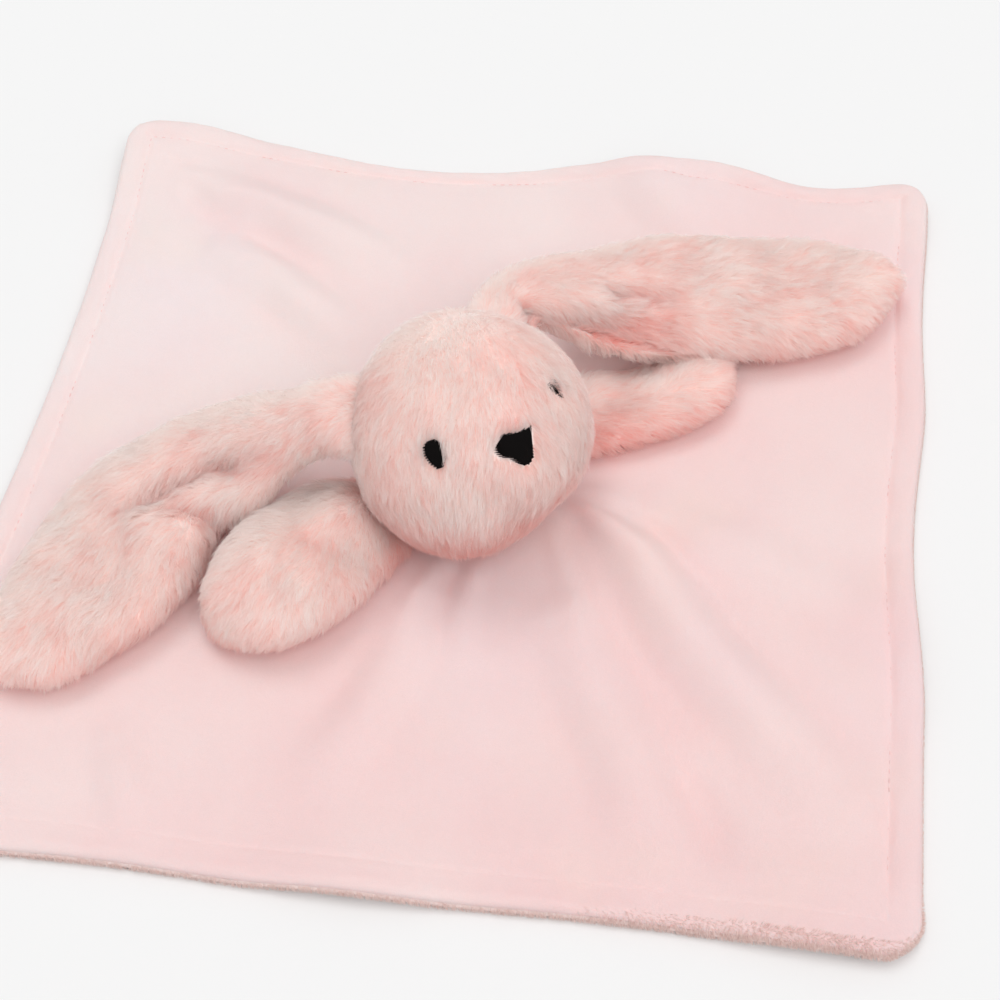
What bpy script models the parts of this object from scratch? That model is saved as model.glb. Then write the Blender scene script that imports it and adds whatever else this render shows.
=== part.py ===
"""A comfort blanket: a square of two plush panels with a long-eared rabbit's head and two arms
sewn to its middle. The toy lies on its back on the cloth and looks towards one corner.

Metres, +Z up. The origin is the middle of the square, on the surface that it lies on, and X and Y
run along its edges. Left and right are those of someone who looks the rabbit in the face. The
rabbit's own directions are across (to the right), ahead (the way it looks) and up.
"""
import bmesh
import bpy
from math import copysign, cos, pi, radians, sin, sqrt
from mathutils import Matrix, Vector

# The square of cloth and its hem
BLANKET_SIDE = 0.340
FRONT_PANEL_THICKNESS = 0.0026
BACK_PANEL_THICKNESS = 0.0026
HEM_WIDTH = 0.011
HEM_THICKNESS = 0.0084
HEM_EDGE_THICKNESS = 0.0044
STITCHED_THICKNESS = 0.0040
SEAM_GAP = 0.0003
HEM_STEP_SHARES = (0.0, 0.30, 0.66)
CORNER_RADIUS = 0.0125
BLANKET_CELLS = 18

# How the cloth lies: edges drawn in, corners lifted, and long soft folds
EDGE_PULL = 0.015
EDGE_PULL_DEPTH_SHARE = 0.45
EDGE_LIFT = 0.011
FOLD_HALF_WIDTH = 0.021
FOLD_HEIGHT = 0.0085
# Each row: place along the edge, reach, depth. Places and reaches are shares of half the side.
BACK_EDGE_PULL_SHARES = (
    (-1.0, 0.16, 0.20),
    (-0.20, 0.62, 1.0),
    (0.36, 0.30, 0.20),
    (0.72, 0.26, 0.52),
    (1.0, 0.40, 0.40),
)
FRONT_EDGE_PULL_SHARES = ((-0.55, 0.34, 0.10), (0.45, 0.50, 0.14))
LEFT_EDGE_PULL_SHARES = ((0.20, 0.90, 0.34),)
RIGHT_EDGE_PULL_SHARES = ((-0.10, 0.40, 0.26), (0.55, 0.30, 0.10))
# Each row: x, y, reach, height
LIFT_SHARES = (
    (-1.0, 1.0, 0.36, 0.72),
    (1.0, 1.0, 0.30, 0.24),
    (0.36, 1.04, 0.36, 0.55),
    (1.0, -0.35, 0.26, 0.28),
    (0.84, -1.04, 0.26, 0.30),
    (-0.05, -1.04, 0.24, 0.30),
)
# Each row: three places that the crest runs through, then its half width and height
FOLD_SHARES = (
    ((0.33, -0.10), (0.56, -0.42), (0.84, -0.70), 0.90, 1.00),
    ((0.28, -0.38), (0.43, -0.64), (0.51, -0.84), 0.85, 0.70),
    ((0.00, -0.36), (-0.07, -0.60), (-0.15, -0.78), 0.70, 0.45),
    ((0.46, -0.10), (0.67, -0.18), (0.86, -0.28), 0.85, 0.45),
    ((-0.78, 0.80), (-0.51, 0.70), (-0.26, 0.58), 0.80, 0.85),
    ((-0.66, 0.58), (-0.47, 0.46), (-0.32, 0.36), 0.70, 0.75),
    ((0.30, 0.94), (0.38, 0.84), (0.44, 0.74), 0.85, 0.50),
    ((-0.56, -0.76), (-0.52, -0.84), (-0.47, -0.92), 0.60, 0.40),
)

# The rabbit's heading and its head
TOY_HEADING = radians(-45.0)
FACE_TURN = radians(-2.5)
FACE_RISE = radians(40.0)
HEAD_RADIUS = 0.0395
HEAD_ACROSS = -0.0039
HEAD_AHEAD = 0.0171
HEAD_PLY = 0.0075
MUZZLE_SWELL = 0.0022
CHEEK_SWELL = 0.0012
CROWN_SWELL = 0.0010
SWELL_REACH = radians(52.0)
MUZZLE_DROP = radians(12.0)
CHEEK_SIDE = radians(62.0)
CHEEK_DROP = radians(10.0)
SEAM_END_ANGLE = radians(4.0)
FACE_COLUMNS = 8
BACK_COLUMNS = 14
HEAD_ROWS = 12
FILLING_COLUMNS = 20

# The neck: a short sewn stub that the head is gathered on
NECK_RADIUS = 0.021
NECK_TOP_RADIUS = 0.0175
NECK_HEIGHT = 0.012
NECK_LEAST_HEIGHT = 0.0022
NECK_SEAT_GAP = 0.0006
NECK_SIDES = 24

# Embroidered eyes and nose
EYE_SIDE = radians(38.0)
EYE_RISE = radians(14.5)
EYE_LENGTH = 0.0104
EYE_WIDTH = 0.0078
NOSE_WIDTH = 0.0160
NOSE_HEIGHT = 0.0140
NOSE_POINT_SHARE = 0.14
STITCH_PAD_HEIGHT = 0.0016
PAD_SIDES = 18
PAD_RINGS = 3

# The ears: two plies each, narrow where they are gathered into the head seam
EAR_REACH = 0.180
EAR_THICKNESS = 0.025
EAR_ROOT_WIDTH = 0.027
EAR_ROOT_THICKNESS = 0.009
EAR_ROOT_STANDOFF = 0.0004
EAR_ROOT_HEIGHT = 0.050
EAR_ROOT_SIDE = radians(55.0)
EAR_ROOT_RISE = radians(16.0)
EAR_ROOT_SLANT = radians(22.0)
EAR_RINGS = 24
# Each row: the rear edge's distance out and ahead, the front edge's, as shares of the ear's reach;
# the thickness as a share of the ear's; how much higher the rear edge is, and how far the
# underside stands off the cloth, as shares of the root's height
LEFT_EAR_SHARES = (
    (0.200, -0.122, 0.283, -0.040, 0.60, 0.24, 0.76),
    (0.250, -0.195, 0.322, -0.080, 0.72, 0.17, 0.60),
    (0.300, -0.270, 0.367, -0.112, 0.84, 0.18, 0.41),
    (0.378, -0.344, 0.417, -0.120, 0.94, 0.14, 0.21),
    (0.489, -0.394, 0.489, -0.112, 1.00, 0.09, 0.07),
    (0.622, -0.403, 0.578, -0.050, 1.00, 0.05, 0.015),
    (0.755, -0.350, 0.700, -0.008, 1.00, 0.03, 0.006),
    (0.850, -0.292, 0.811, -0.006, 0.96, 0.01, 0.006),
    (0.928, -0.244, 0.906, -0.017, 0.84, 0.0, 0.006),
    (0.978, -0.200, 0.964, -0.070, 0.62, 0.0, 0.006),
    (1.000, -0.160, 0.996, -0.125, 0.30, 0.0, 0.02),
)
RIGHT_EAR_SHARES = (
    (0.170, -0.128, 0.250, -0.028, 0.60, 0.28, 0.78),
    (0.244, -0.161, 0.311, -0.006, 0.72, 0.32, 0.62),
    (0.322, -0.172, 0.378, 0.006, 0.84, 0.36, 0.44),
    (0.422, -0.175, 0.444, 0.011, 0.94, 0.34, 0.27),
    (0.528, -0.169, 0.505, 0.020, 1.00, 0.28, 0.15),
    (0.644, -0.150, 0.562, 0.070, 1.00, 0.20, 0.07),
    (0.755, -0.094, 0.617, 0.176, 1.00, 0.12, 0.02),
    (0.867, -0.017, 0.717, 0.258, 0.96, 0.06, 0.006),
    (0.955, 0.061, 0.828, 0.292, 0.90, 0.02, 0.006),
    (1.005, 0.133, 0.928, 0.275, 0.78, 0.0, 0.006),
    (1.017, 0.194, 0.983, 0.247, 0.52, 0.0, 0.006),
    (1.011, 0.217, 1.003, 0.236, 0.26, 0.0, 0.02),
)

# The arms: a top and an under ply round a filling, each narrowing to the neck seam
ARM_REACH = 0.1085
ARM_THICKNESS = 0.032
ARM_PLY = 0.0060
ARM_RINGS = 18
ARM_FILLING_SPAN_SHARES = (0.40, 0.84)
# Each row: distance out, the rear edge's and the front edge's distance ahead, as shares of the
# reach, and the thickness as a share of the arm's
LEFT_ARM_SHARES = (
    (0.210, 0.015, 0.150, 0.12),
    (0.240, -0.005, 0.175, 0.16),
    (0.320, -0.015, 0.205, 0.24),
    (0.400, -0.020, 0.249, 0.42),
    (0.516, -0.050, 0.295, 0.68),
    (0.645, -0.085, 0.332, 0.90),
    (0.774, -0.100, 0.350, 1.00),
    (0.885, -0.060, 0.323, 0.92),
    (0.959, 0.000, 0.249, 0.62),
    (1.000, 0.080, 0.150, 0.24),
)
RIGHT_ARM_SHARES = (
    (0.210, 0.030, 0.165, 0.12),
    (0.240, 0.024, 0.190, 0.16),
    (0.320, 0.036, 0.240, 0.28),
    (0.410, 0.056, 0.286, 0.46),
    (0.516, 0.072, 0.341, 0.62),
    (0.645, 0.088, 0.387, 0.76),
    (0.756, 0.106, 0.406, 0.80),
    (0.848, 0.134, 0.396, 0.72),
    (0.912, 0.178, 0.350, 0.52),
    (0.945, 0.215, 0.300, 0.24),
)

# The nod: the head tips forward over a line just ahead of the neck, parallel to the ears
NOD_AHEAD = 0.030
NOD_HEADING = radians(-10.0)

LIMB_HALF_SIDES = 8
SHARP_EDGE = radians(40.0)

# Finish: base colour and roughness
PLUSH_PINK = (0.91, 0.66, 0.62)
VELOUR_PINK = (0.91, 0.69, 0.67)
BACKING_PINK = (0.83, 0.60, 0.59)
FILLING_WHITE = (0.92, 0.90, 0.87)
THREAD_BLACK = (0.010, 0.010, 0.012)
PLUSH_ROUGHNESS = 0.92
THREAD_ROUGHNESS = 0.45

# Lengths that follow from the sizes above
HALF_SIDE = BLANKET_SIDE / 2
BLANKET_TOP = BACK_PANEL_THICKNESS + SEAM_GAP + FRONT_PANEL_THICKNESS
LYING_HEIGHT = BLANKET_TOP + SEAM_GAP
AHEAD = Vector((cos(TOY_HEADING), sin(TOY_HEADING), 0))
ACROSS = Vector((-AHEAD.y, AHEAD.x, 0))
UP = Vector((0, 0, 1))
UNIT = 1.0


def toy_place(across, ahead, up):
    """A place given in the rabbit's own directions."""
    return ACROSS * across + AHEAD * ahead + UP * up


HEAD_CENTRE = toy_place(HEAD_ACROSS, HEAD_AHEAD, BLANKET_TOP + NECK_LEAST_HEIGHT + HEAD_RADIUS)
FACE_AHEAD = Matrix.Rotation(FACE_TURN, 3, UP) @ AHEAD
FACE_SIDE = Matrix.Rotation(FACE_TURN, 3, UP) @ ACROSS
FACE_OUT = FACE_AHEAD * cos(FACE_RISE) + UP * sin(FACE_RISE)
FACE_CROWN = FACE_OUT.cross(FACE_SIDE)


def bump(distance, reach):
    """1 at no distance, falling smoothly to 0 at the reach and beyond."""
    share = min(abs(distance) / reach, UNIT)
    return (UNIT - share * share) ** 2


def make_material(name, colour, roughness):
    material = bpy.data.materials.new(name)
    material.use_nodes = True
    shader = material.node_tree.nodes["Principled BSDF"]
    shader.inputs["Base Color"].default_value = (*colour, UNIT)
    shader.inputs["Roughness"].default_value = roughness
    shader.inputs["Metallic"].default_value = 0
    material.diffuse_color = (*colour, UNIT)
    return material


def make_pivot(name, place, axis, parent=None):
    """An empty on a joint's axis, its X along the axis."""
    pivot = bpy.data.objects.new(name, None)
    bpy.context.scene.collection.objects.link(pivot)
    turn = axis.to_track_quat("X", "Z").to_matrix().to_4x4()
    world = Matrix.Translation(place) @ turn
    pivot.parent = parent
    above = Matrix(parent["world"]) if parent else Matrix.Identity(4)
    pivot.matrix_basis = above.inverted() @ world
    pivot["world"] = [list(row) for row in world]
    return pivot


def make_object(name, points, faces, colour, roughness, pivot=None):
    """One closed piece from world points, with its origin on its pivot."""
    world = Matrix(pivot["world"]) if pivot else Matrix.Identity(4)
    into = world.inverted()
    mesh = bpy.data.meshes.new(name)
    mesh.from_pydata([into @ Vector(point) for point in points], [], faces)
    work = bmesh.new()
    work.from_mesh(mesh)
    bmesh.ops.recalc_face_normals(work, faces=work.faces)
    work.to_mesh(mesh)
    work.free()
    mesh.shade_smooth()
    mesh.set_sharp_from_angle(angle=SHARP_EDGE)
    mesh.materials.append(make_material(name + "_finish", colour, roughness))
    piece = bpy.data.objects.new(name, mesh)
    bpy.context.scene.collection.objects.link(piece)
    piece.parent = pivot
    return piece


def as_cutter(piece):
    piece.hide_render = True
    piece.display_type = "WIRE"
    return piece


def cut(piece, cutter):
    modifier = piece.modifiers.new("cut by " + cutter.name, "BOOLEAN")
    modifier.operation = "DIFFERENCE"
    modifier.solver = "EXACT"
    modifier.object = cutter


def loft(rings):
    """Points and triangles of a closed solid through like rings, capped at both ends."""
    count = len(rings[0])
    points = [point for ring in rings for point in ring]
    faces = []
    for start in range(0, len(points) - count, count):
        for side in range(count):
            after = (side + 1) % count
            near, near_next = start + side, start + after
            far, far_next = near + count, near_next + count
            faces += [(near, far, far_next), (near, far_next, near_next)]
    last = len(points) - count
    faces += [tuple(range(count))[::-1], tuple(range(last, last + count))]
    return points, faces


# The cloth


def edge_pull(place, rows):
    return sum(EDGE_PULL * depth * bump(place - centre, reach) for centre, reach, depth in rows)


def near_edge(share):
    """0 in the middle of the cloth, 1 at its edge: how far an edge's pull is felt."""
    return max(0, (share - UNIT + EDGE_PULL_DEPTH_SHARE) / EDGE_PULL_DEPTH_SHARE) ** 2


def round_corner(x_share, y_share):
    """The square's shares with its corners turned in to a radius."""
    start = UNIT - CORNER_RADIUS / HALF_SIDE
    past_x, past_y = [(abs(share) - start) / (UNIT - start) for share in (x_share, y_share)]
    if min(past_x, past_y) <= 0:
        return x_share, y_share
    near_x = start + (UNIT - start) * past_x * sqrt(UNIT - past_y * past_y / 2)
    near_y = start + (UNIT - start) * past_y * sqrt(UNIT - past_x * past_x / 2)
    return copysign(near_x, x_share), copysign(near_y, y_share)


def cloth_place(x_share, y_share):
    """Where a point of the flat square lies once its edges are drawn in."""
    x_share, y_share = round_corner(x_share, y_share)
    x_pull = near_edge(x_share) * edge_pull(y_share, RIGHT_EDGE_PULL_SHARES)
    x_pull -= near_edge(-x_share) * edge_pull(y_share, LEFT_EDGE_PULL_SHARES)
    y_pull = near_edge(y_share) * edge_pull(x_share, BACK_EDGE_PULL_SHARES)
    y_pull -= near_edge(-y_share) * edge_pull(x_share, FRONT_EDGE_PULL_SHARES)
    return x_share * HALF_SIDE - x_pull, y_share * HALF_SIDE - y_pull


def distance_to_line(place, start, end):
    along = end - start
    share = max(0, min(UNIT, (place - start).dot(along) / along.length_squared))
    return (place - start - along * share).length


def cloth_lift(x, y):
    """How far the cloth stands off the surface under it, from its folds and lifted edges."""
    place = Vector((x, y))
    lift = 0
    for first, second, third, width, height in FOLD_SHARES:
        crest = [Vector(point) * HALF_SIDE for point in (first, second, third)]
        away = min(distance_to_line(place, crest[0], crest[1]), distance_to_line(place, crest[1], crest[2]))
        lift = max(lift, FOLD_HEIGHT * height * bump(away, FOLD_HALF_WIDTH * width))
    for x_share, y_share, reach, height in LIFT_SHARES:
        away = (place - Vector((x_share, y_share)) * HALF_SIDE).length
        lift += EDGE_LIFT * height * bump(away, reach * HALF_SIDE)
    return lift


def cloth_shares():
    """Grid lines from edge to edge: close together in the hem, even between."""
    hem = HEM_WIDTH / HALF_SIDE
    start = [hem * share - UNIT for share in HEM_STEP_SHARES]
    span = (UNIT - hem) * 2
    middle = [hem - UNIT + span * step / BLANKET_CELLS for step in range(BLANKET_CELLS + 1)]
    return start + middle + [-share for share in reversed(start)]


def cloth_thickness(x_share, y_share, flat):
    """Thickness of one panel: full inside, nipped at the topstitch, plump in the hem."""
    inside = (UNIT - max(abs(x_share), abs(y_share))) * HALF_SIDE
    steps = [HEM_WIDTH * share for share in HEM_STEP_SHARES] + [HEM_WIDTH]
    sizes = [HEM_EDGE_THICKNESS / 2, HEM_THICKNESS / 2, HEM_THICKNESS / 2, STITCHED_THICKNESS / 2]
    for low, high, thin, thick in zip(steps, steps[1:], sizes, sizes[1:]):
        if inside <= high:
            return thin + (thick - thin) * max(0, inside - low) / (high - low)
    return flat


def cloth_panel(name, colour, is_front):
    """One of the two panels: a closed sheet on the shared grid."""
    shares = cloth_shares()
    count = len(shares)
    low_points, high_points = [], []
    for y_share in shares:
        for x_share in shares:
            x, y = cloth_place(x_share, y_share)
            base = cloth_lift(x, y)
            back = cloth_thickness(x_share, y_share, BACK_PANEL_THICKNESS)
            front = cloth_thickness(x_share, y_share, FRONT_PANEL_THICKNESS)
            low = base + back + SEAM_GAP if is_front else base
            low_points.append((x, y, low))
            high_points.append((x, y, low + (front if is_front else back)))
    faces = []
    above = count * count
    for row in range(count - 1):
        for column in range(count - 1):
            a = row * count + column
            b, c, d = a + 1, a + count + 1, a + count
            faces += [(a, c, b), (a, d, c)]
            faces += [(above + a, above + b, above + c), (above + a, above + c, above + d)]
    rim = [column for column in range(count)]
    rim += [row * count + count - 1 for row in range(1, count)]
    rim += [(count - 1) * count + column for column in reversed(range(count - 1))]
    rim += [row * count for row in reversed(range(1, count - 1))]
    for here, there in zip(rim, rim[1:] + rim[:1]):
        faces.append((here, there, above + there, above + here))
    return make_object(name, low_points + high_points, faces, colour, PLUSH_ROUGHNESS)


# The head


def face_direction(side, rise):
    """A direction out of the head, by its angle to the side and above the nose."""
    ahead = FACE_OUT * cos(rise) + FACE_CROWN * sin(rise)
    return ahead * cos(side) + FACE_SIDE * sin(side)


def head_radius(direction):
    """The head's radius that way: a ball with a swelling muzzle, cheeks and crown."""
    swells = [
        (face_direction(0, -MUZZLE_DROP), MUZZLE_SWELL),
        (face_direction(CHEEK_SIDE, -CHEEK_DROP), CHEEK_SWELL),
        (face_direction(-CHEEK_SIDE, -CHEEK_DROP), CHEEK_SWELL),
        (FACE_CROWN, CROWN_SWELL),
    ]
    return HEAD_RADIUS + sum(size * bump(direction.angle(way), SWELL_REACH) for way, size in swells)


def head_point(direction, height):
    return HEAD_CENTRE + direction * (head_radius(direction) + height)


def head_direction(around, down):
    """By the angle round from the nose and the angle down from the crown."""
    level = FACE_OUT * cos(around) + FACE_SIDE * sin(around)
    return level * sin(down) + FACE_CROWN * cos(down)


def head_panel(name, start, end, columns, pivot):
    """A gore of the head's cover between two seams that run from the crown to the chin."""
    points, faces = [], []
    for height in (0, -HEAD_PLY):
        for row in range(HEAD_ROWS + 1):
            down = SEAM_END_ANGLE + (pi - SEAM_END_ANGLE * 2) * row / HEAD_ROWS
            inset = SEAM_GAP / 2 / ((HEAD_RADIUS + height) * sin(down))
            for column in range(columns + 1):
                around = start + inset + (end - start - inset * 2) * column / columns
                points.append(head_point(head_direction(around, down), height))
    width = columns + 1
    layer = width * (HEAD_ROWS + 1)
    for row in range(HEAD_ROWS):
        for column in range(columns):
            a = row * width + column
            b, c, d = a + 1, a + width + 1, a + width
            faces += [(a, b, c, d), (layer + a, layer + d, layer + c, layer + b)]
    rim = list(range(width)) + [row * width + columns for row in range(1, HEAD_ROWS + 1)]
    rim += [HEAD_ROWS * width + column for column in reversed(range(columns))]
    rim += [row * width for row in reversed(range(1, HEAD_ROWS))]
    for here, there in zip(rim, rim[1:] + rim[:1]):
        faces.append((here, layer + here, layer + there, there))
    return make_object(name, points, faces, PLUSH_PINK, PLUSH_ROUGHNESS, pivot)


def head_ball(name, height, columns, colour, pivot):
    """A closed ball that follows the head's surface at a height above it."""
    rings = []
    for row in range(1, HEAD_ROWS):
        down = pi * row / HEAD_ROWS
        ring = [head_direction(2 * pi * column / columns, down) for column in range(columns)]
        rings.append([head_point(direction, height) for direction in ring])
    count = len(rings[0])
    points, faces = loft(rings)
    faces = faces[:-2]
    top, bottom = len(points), len(points) + 1
    last = top - count
    points += [head_point(FACE_CROWN, height), head_point(-FACE_CROWN, height)]
    for side in range(count):
        after = (side + 1) % count
        faces += [(side, after, top), (last + after, last + side, bottom)]
    return make_object(name, points, faces, colour, PLUSH_ROUGHNESS, pivot)


def stitched_pad(name, middle, outline, pivot):
    """A low dome of satin stitch on the face. The outline gives its half width at each angle."""
    side = FACE_SIDE - middle * FACE_SIDE.dot(middle)
    side.normalize()
    crown = middle.cross(side)
    under, over = [], []
    for ring in range(PAD_RINGS + 1):
        share = (ring / PAD_RINGS) ** (UNIT / 2)
        for step in range(PAD_SIDES if ring else 1):
            angle = 2 * pi * step / PAD_SIDES
            reach = outline(angle) * share / HEAD_RADIUS
            way = middle + (side * cos(angle) + crown * sin(angle)) * reach
            way.normalize()
            dome = STITCH_PAD_HEIGHT * (UNIT + 2 * sqrt(UNIT - share * share)) / 3
            under.append(head_point(way, SEAM_GAP))
            over.append(head_point(way, SEAM_GAP + dome))
    faces = []
    layer = len(under)
    for step in range(PAD_SIDES):
        after = (step + 1) % PAD_SIDES
        faces += [(0, 1 + after, 1 + step), (layer, layer + 1 + step, layer + 1 + after)]
        for ring in range(1, PAD_RINGS):
            inner = 1 + (ring - 1) * PAD_SIDES
            outer = inner + PAD_SIDES
            faces.append((inner + step, inner + after, outer + after, outer + step))
            faces.append(tuple(layer + corner for corner in faces[-1][::-1]))
        rim = 1 + (PAD_RINGS - 1) * PAD_SIDES
        faces.append((rim + step, rim + after, layer + rim + after, layer + rim + step))
    return make_object(name, under + over, faces, THREAD_BLACK, THREAD_ROUGHNESS, pivot)


def eye_outline(angle):
    return EYE_LENGTH * EYE_WIDTH / 2 / sqrt((EYE_LENGTH * cos(angle)) ** 2 + (EYE_WIDTH * sin(angle)) ** 2)


def nose_outline(angle):
    """A rounded triangle, point down."""
    across, along = cos(angle) * NOSE_WIDTH / 2, sin(angle) * NOSE_HEIGHT / 2
    return sqrt(across ** 2 + along ** 2) * (UNIT - NOSE_POINT_SHARE * sin(angle * 3))


def make_head(pivot):
    head_panel("face_panel_left", -pi / 2, 0, FACE_COLUMNS, pivot)
    head_panel("face_panel_right", 0, pi / 2, FACE_COLUMNS, pivot)
    head_panel("head_back_panel", pi / 2, pi * 3 / 2, BACK_COLUMNS, pivot)
    head_ball("head_filling", -HEAD_PLY - SEAM_GAP, FILLING_COLUMNS, FILLING_WHITE, pivot)
    stitched_pad("eye_left", face_direction(-EYE_SIDE, EYE_RISE), eye_outline, pivot)
    stitched_pad("eye_right", face_direction(EYE_SIDE, EYE_RISE), eye_outline, pivot)
    stitched_pad("nose", face_direction(0, 0), nose_outline, pivot)


def make_neck():
    """A tapered stub on the cloth, hollowed on top to seat the ball of the head."""
    rings = []
    for radius, height in ((NECK_RADIUS, LYING_HEIGHT), (NECK_TOP_RADIUS, LYING_HEIGHT + NECK_HEIGHT)):
        turns = [2 * pi * side / NECK_SIDES for side in range(NECK_SIDES)]
        rings.append([Vector((radius * cos(turn), radius * sin(turn), height)) for turn in turns])
    points, faces = loft(rings)
    neck = make_object("neck", points, faces, PLUSH_PINK, PLUSH_ROUGHNESS)
    seat = head_ball("head_seat_cutter", NECK_SEAT_GAP, FILLING_COLUMNS * 2, PLUSH_PINK, None)
    cut(neck, as_cutter(seat))


# Ears and arms


def smooth_rows(rows, count):
    """Rows of numbers along a smooth curve through the given rows."""
    result = []
    for step in range(count):
        place = (len(rows) - 1) * step / (count - 1)
        here = min(int(place), len(rows) - 2)
        share = place - here
        before, after = rows[max(here - 1, 0)], rows[min(here + 2, len(rows) - 1)]
        row = []
        for p0, p1, p2, p3 in zip(before, rows[here], rows[here + 1], after):
            bend = 2 * p0 - 5 * p1 + 4 * p2 - p3
            twist = 3 * (p1 - p2) + p3 - p0
            row.append(p1 + (p2 - p0 + (bend + twist * share) * share) * share / 2)
        result.append(row)
    return result


def limb_frames(stations, lead=None):
    """Middle, half width and thickness direction of each station (rear edge, front edge, thickness)."""
    middles = [(rear + front) / 2 for rear, front, _ in stations]
    frames = []
    for index, (rear, front, thickness) in enumerate(stations):
        along = middles[min(index + 1, len(middles) - 1)] - middles[max(index - 1, 0)]
        if lead and not index:
            along = lead
        half = (front - rear) / 2
        over = half.cross(along)
        if over.z < 0:
            over.negate()
        frames.append((middles[index], half, over.normalized(), thickness / 2))
    return frames


def half_ring(frame, is_top, shrink=0):
    """Half of an oval section, from the rear edge over (or under) to the front edge."""
    middle, half, over, thickness = frame
    rise = over if is_top else -over
    half = half * (half.length - shrink) / half.length
    ring = []
    for side in range(LIMB_HALF_SIDES + 1):
        turn = pi * side / LIMB_HALF_SIDES
        ring.append(middle - half * cos(turn) + rise * (SEAM_GAP / 2 + (thickness - shrink) * sin(turn)))
    return ring


def full_ring(frame, shrink):
    """A whole oval section, shrunk all round."""
    middle, half, over, thickness = frame
    half = half * (half.length - shrink) / half.length
    turns = [pi * side / LIMB_HALF_SIDES for side in range(LIMB_HALF_SIDES * 2)]
    return [middle + half * cos(turn) + over * (thickness - shrink) * sin(turn) for turn in turns]


def limb_ply(name, frames, is_top, pivot):
    points, faces = loft([half_ring(frame, is_top) for frame in frames])
    return make_object(name, points, faces, PLUSH_PINK, PLUSH_ROUGHNESS, pivot)


def ear_root(side):
    """The middle of the seam that gathers an ear into the head, the way out and the way along it."""
    out = head_side_direction(side)
    level = UP.cross(out).normalized() * side
    rise = (UP - out * out.z).normalized()
    seam = rise * sin(EAR_ROOT_SLANT) + level * cos(EAR_ROOT_SLANT)
    return HEAD_CENTRE + out * (head_radius(out) + EAR_ROOT_STANDOFF), out, seam


def head_side_direction(side):
    """The way out of the head at the middle of an ear's root: to the side, back and a little up."""
    level = ACROSS * side * sin(EAR_ROOT_SIDE) - AHEAD * cos(EAR_ROOT_SIDE)
    return level * cos(EAR_ROOT_RISE) + UP * sin(EAR_ROOT_RISE)


def ear_stations(side, shares):
    root, _, seam = ear_root(side)
    half = seam * EAR_ROOT_WIDTH / 2
    stations = [(root + half, root - half, EAR_ROOT_THICKNESS)]
    for rear_out, rear_ahead, front_out, front_ahead, thick, tilt, lift in shares:
        thickness = EAR_THICKNESS * thick
        tilt_height = EAR_ROOT_HEIGHT * tilt / 2
        middle = LYING_HEIGHT + EAR_ROOT_HEIGHT * lift + sqrt(tilt_height ** 2 + (thickness / 2) ** 2)
        rear = toy_place(side * rear_out * EAR_REACH, rear_ahead * EAR_REACH, middle + tilt_height)
        front = toy_place(side * front_out * EAR_REACH, front_ahead * EAR_REACH, middle - tilt_height)
        stations.append((rear, front, thickness))
    return stations


def smooth_stations(stations, count):
    rows = [(*rear, *front, thickness) for rear, front, thickness in stations]
    return [(Vector(row[:3]), Vector(row[3:6]), row[6]) for row in smooth_rows(rows, count)]


def make_ear(name, side, shares, parent):
    root, out, seam = ear_root(side)
    upper_edge = root + out.cross(seam) * side * EAR_ROOT_THICKNESS / 2
    pivot = make_pivot(name + "_pivot", upper_edge, seam * -side, parent)
    frames = limb_frames(smooth_stations(ear_stations(side, shares), EAR_RINGS), out)
    limb_ply(name + "_outer_ply", frames, True, pivot)
    limb_ply(name + "_inner_ply", frames, False, pivot)


def arm_stations(side, shares):
    stations = []
    for out, rear, front, thick in shares:
        thickness = ARM_THICKNESS * thick
        height = LYING_HEIGHT + (thickness + SEAM_GAP) / 2
        ends = [toy_place(side * out * ARM_REACH, ahead * ARM_REACH, height) for ahead in (rear, front)]
        stations.append((*ends, thickness))
    return stations


def inset_ends(rings, inset):
    """The same rings with the two end ones drawn in along the limb."""
    near = (rings[1][0] - rings[0][0]).normalized() * inset
    far = (rings[-2][0] - rings[-1][0]).normalized() * inset
    return [[point + near for point in rings[0]], *rings[1:-1], [point + far for point in rings[-1]]]


def make_arm(name, side, shares):
    stations = arm_stations(side, shares)
    rear, front, _ = stations[0]
    hinge = (rear + front) / 2
    hinge.z = LYING_HEIGHT
    pivot = make_pivot(name + "_pivot", hinge, AHEAD * side)
    frames = limb_frames(smooth_stations(stations, ARM_RINGS))
    first, last = [round(share * (ARM_RINGS - 1)) for share in ARM_FILLING_SPAN_SHARES]
    core = frames[first:last + 1]
    rings = [full_ring(frame, ARM_PLY + SEAM_GAP) for frame in core]
    points, faces = loft(inset_ends(rings, SEAM_GAP * 2))
    make_object(name + "_filling", points, faces, FILLING_WHITE, PLUSH_ROUGHNESS, pivot)
    points, faces = loft([full_ring(frame, ARM_PLY) for frame in core])
    hollow = make_object(name + "_hollow_cutter", points, faces, PLUSH_PINK, PLUSH_ROUGHNESS, pivot)
    as_cutter(hollow)
    for part, is_top in (("_top_ply", True), ("_under_ply", False)):
        cut(limb_ply(name + part, frames, is_top, pivot), hollow)


def clear_scene():
    for item in list(bpy.data.objects):
        bpy.data.objects.remove(item)


def main():
    clear_scene()
    cloth_panel("blanket_back", BACKING_PINK, False)
    cloth_panel("blanket_front", VELOUR_PINK, True)
    make_neck()
    nod_axis = Matrix.Rotation(NOD_HEADING, 3, UP) @ ACROSS
    nod_place = nod_axis.cross(UP) * NOD_AHEAD + UP * BLANKET_TOP
    head_pivot = make_pivot("head_pivot", nod_place, nod_axis)
    make_head(head_pivot)
    make_ear("ear_left", -1, LEFT_EAR_SHARES, head_pivot)
    make_ear("ear_right", 1, RIGHT_EAR_SHARES, head_pivot)
    make_arm("arm_left", -1, LEFT_ARM_SHARES)
    make_arm("arm_right", 1, RIGHT_ARM_SHARES)


main()
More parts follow.
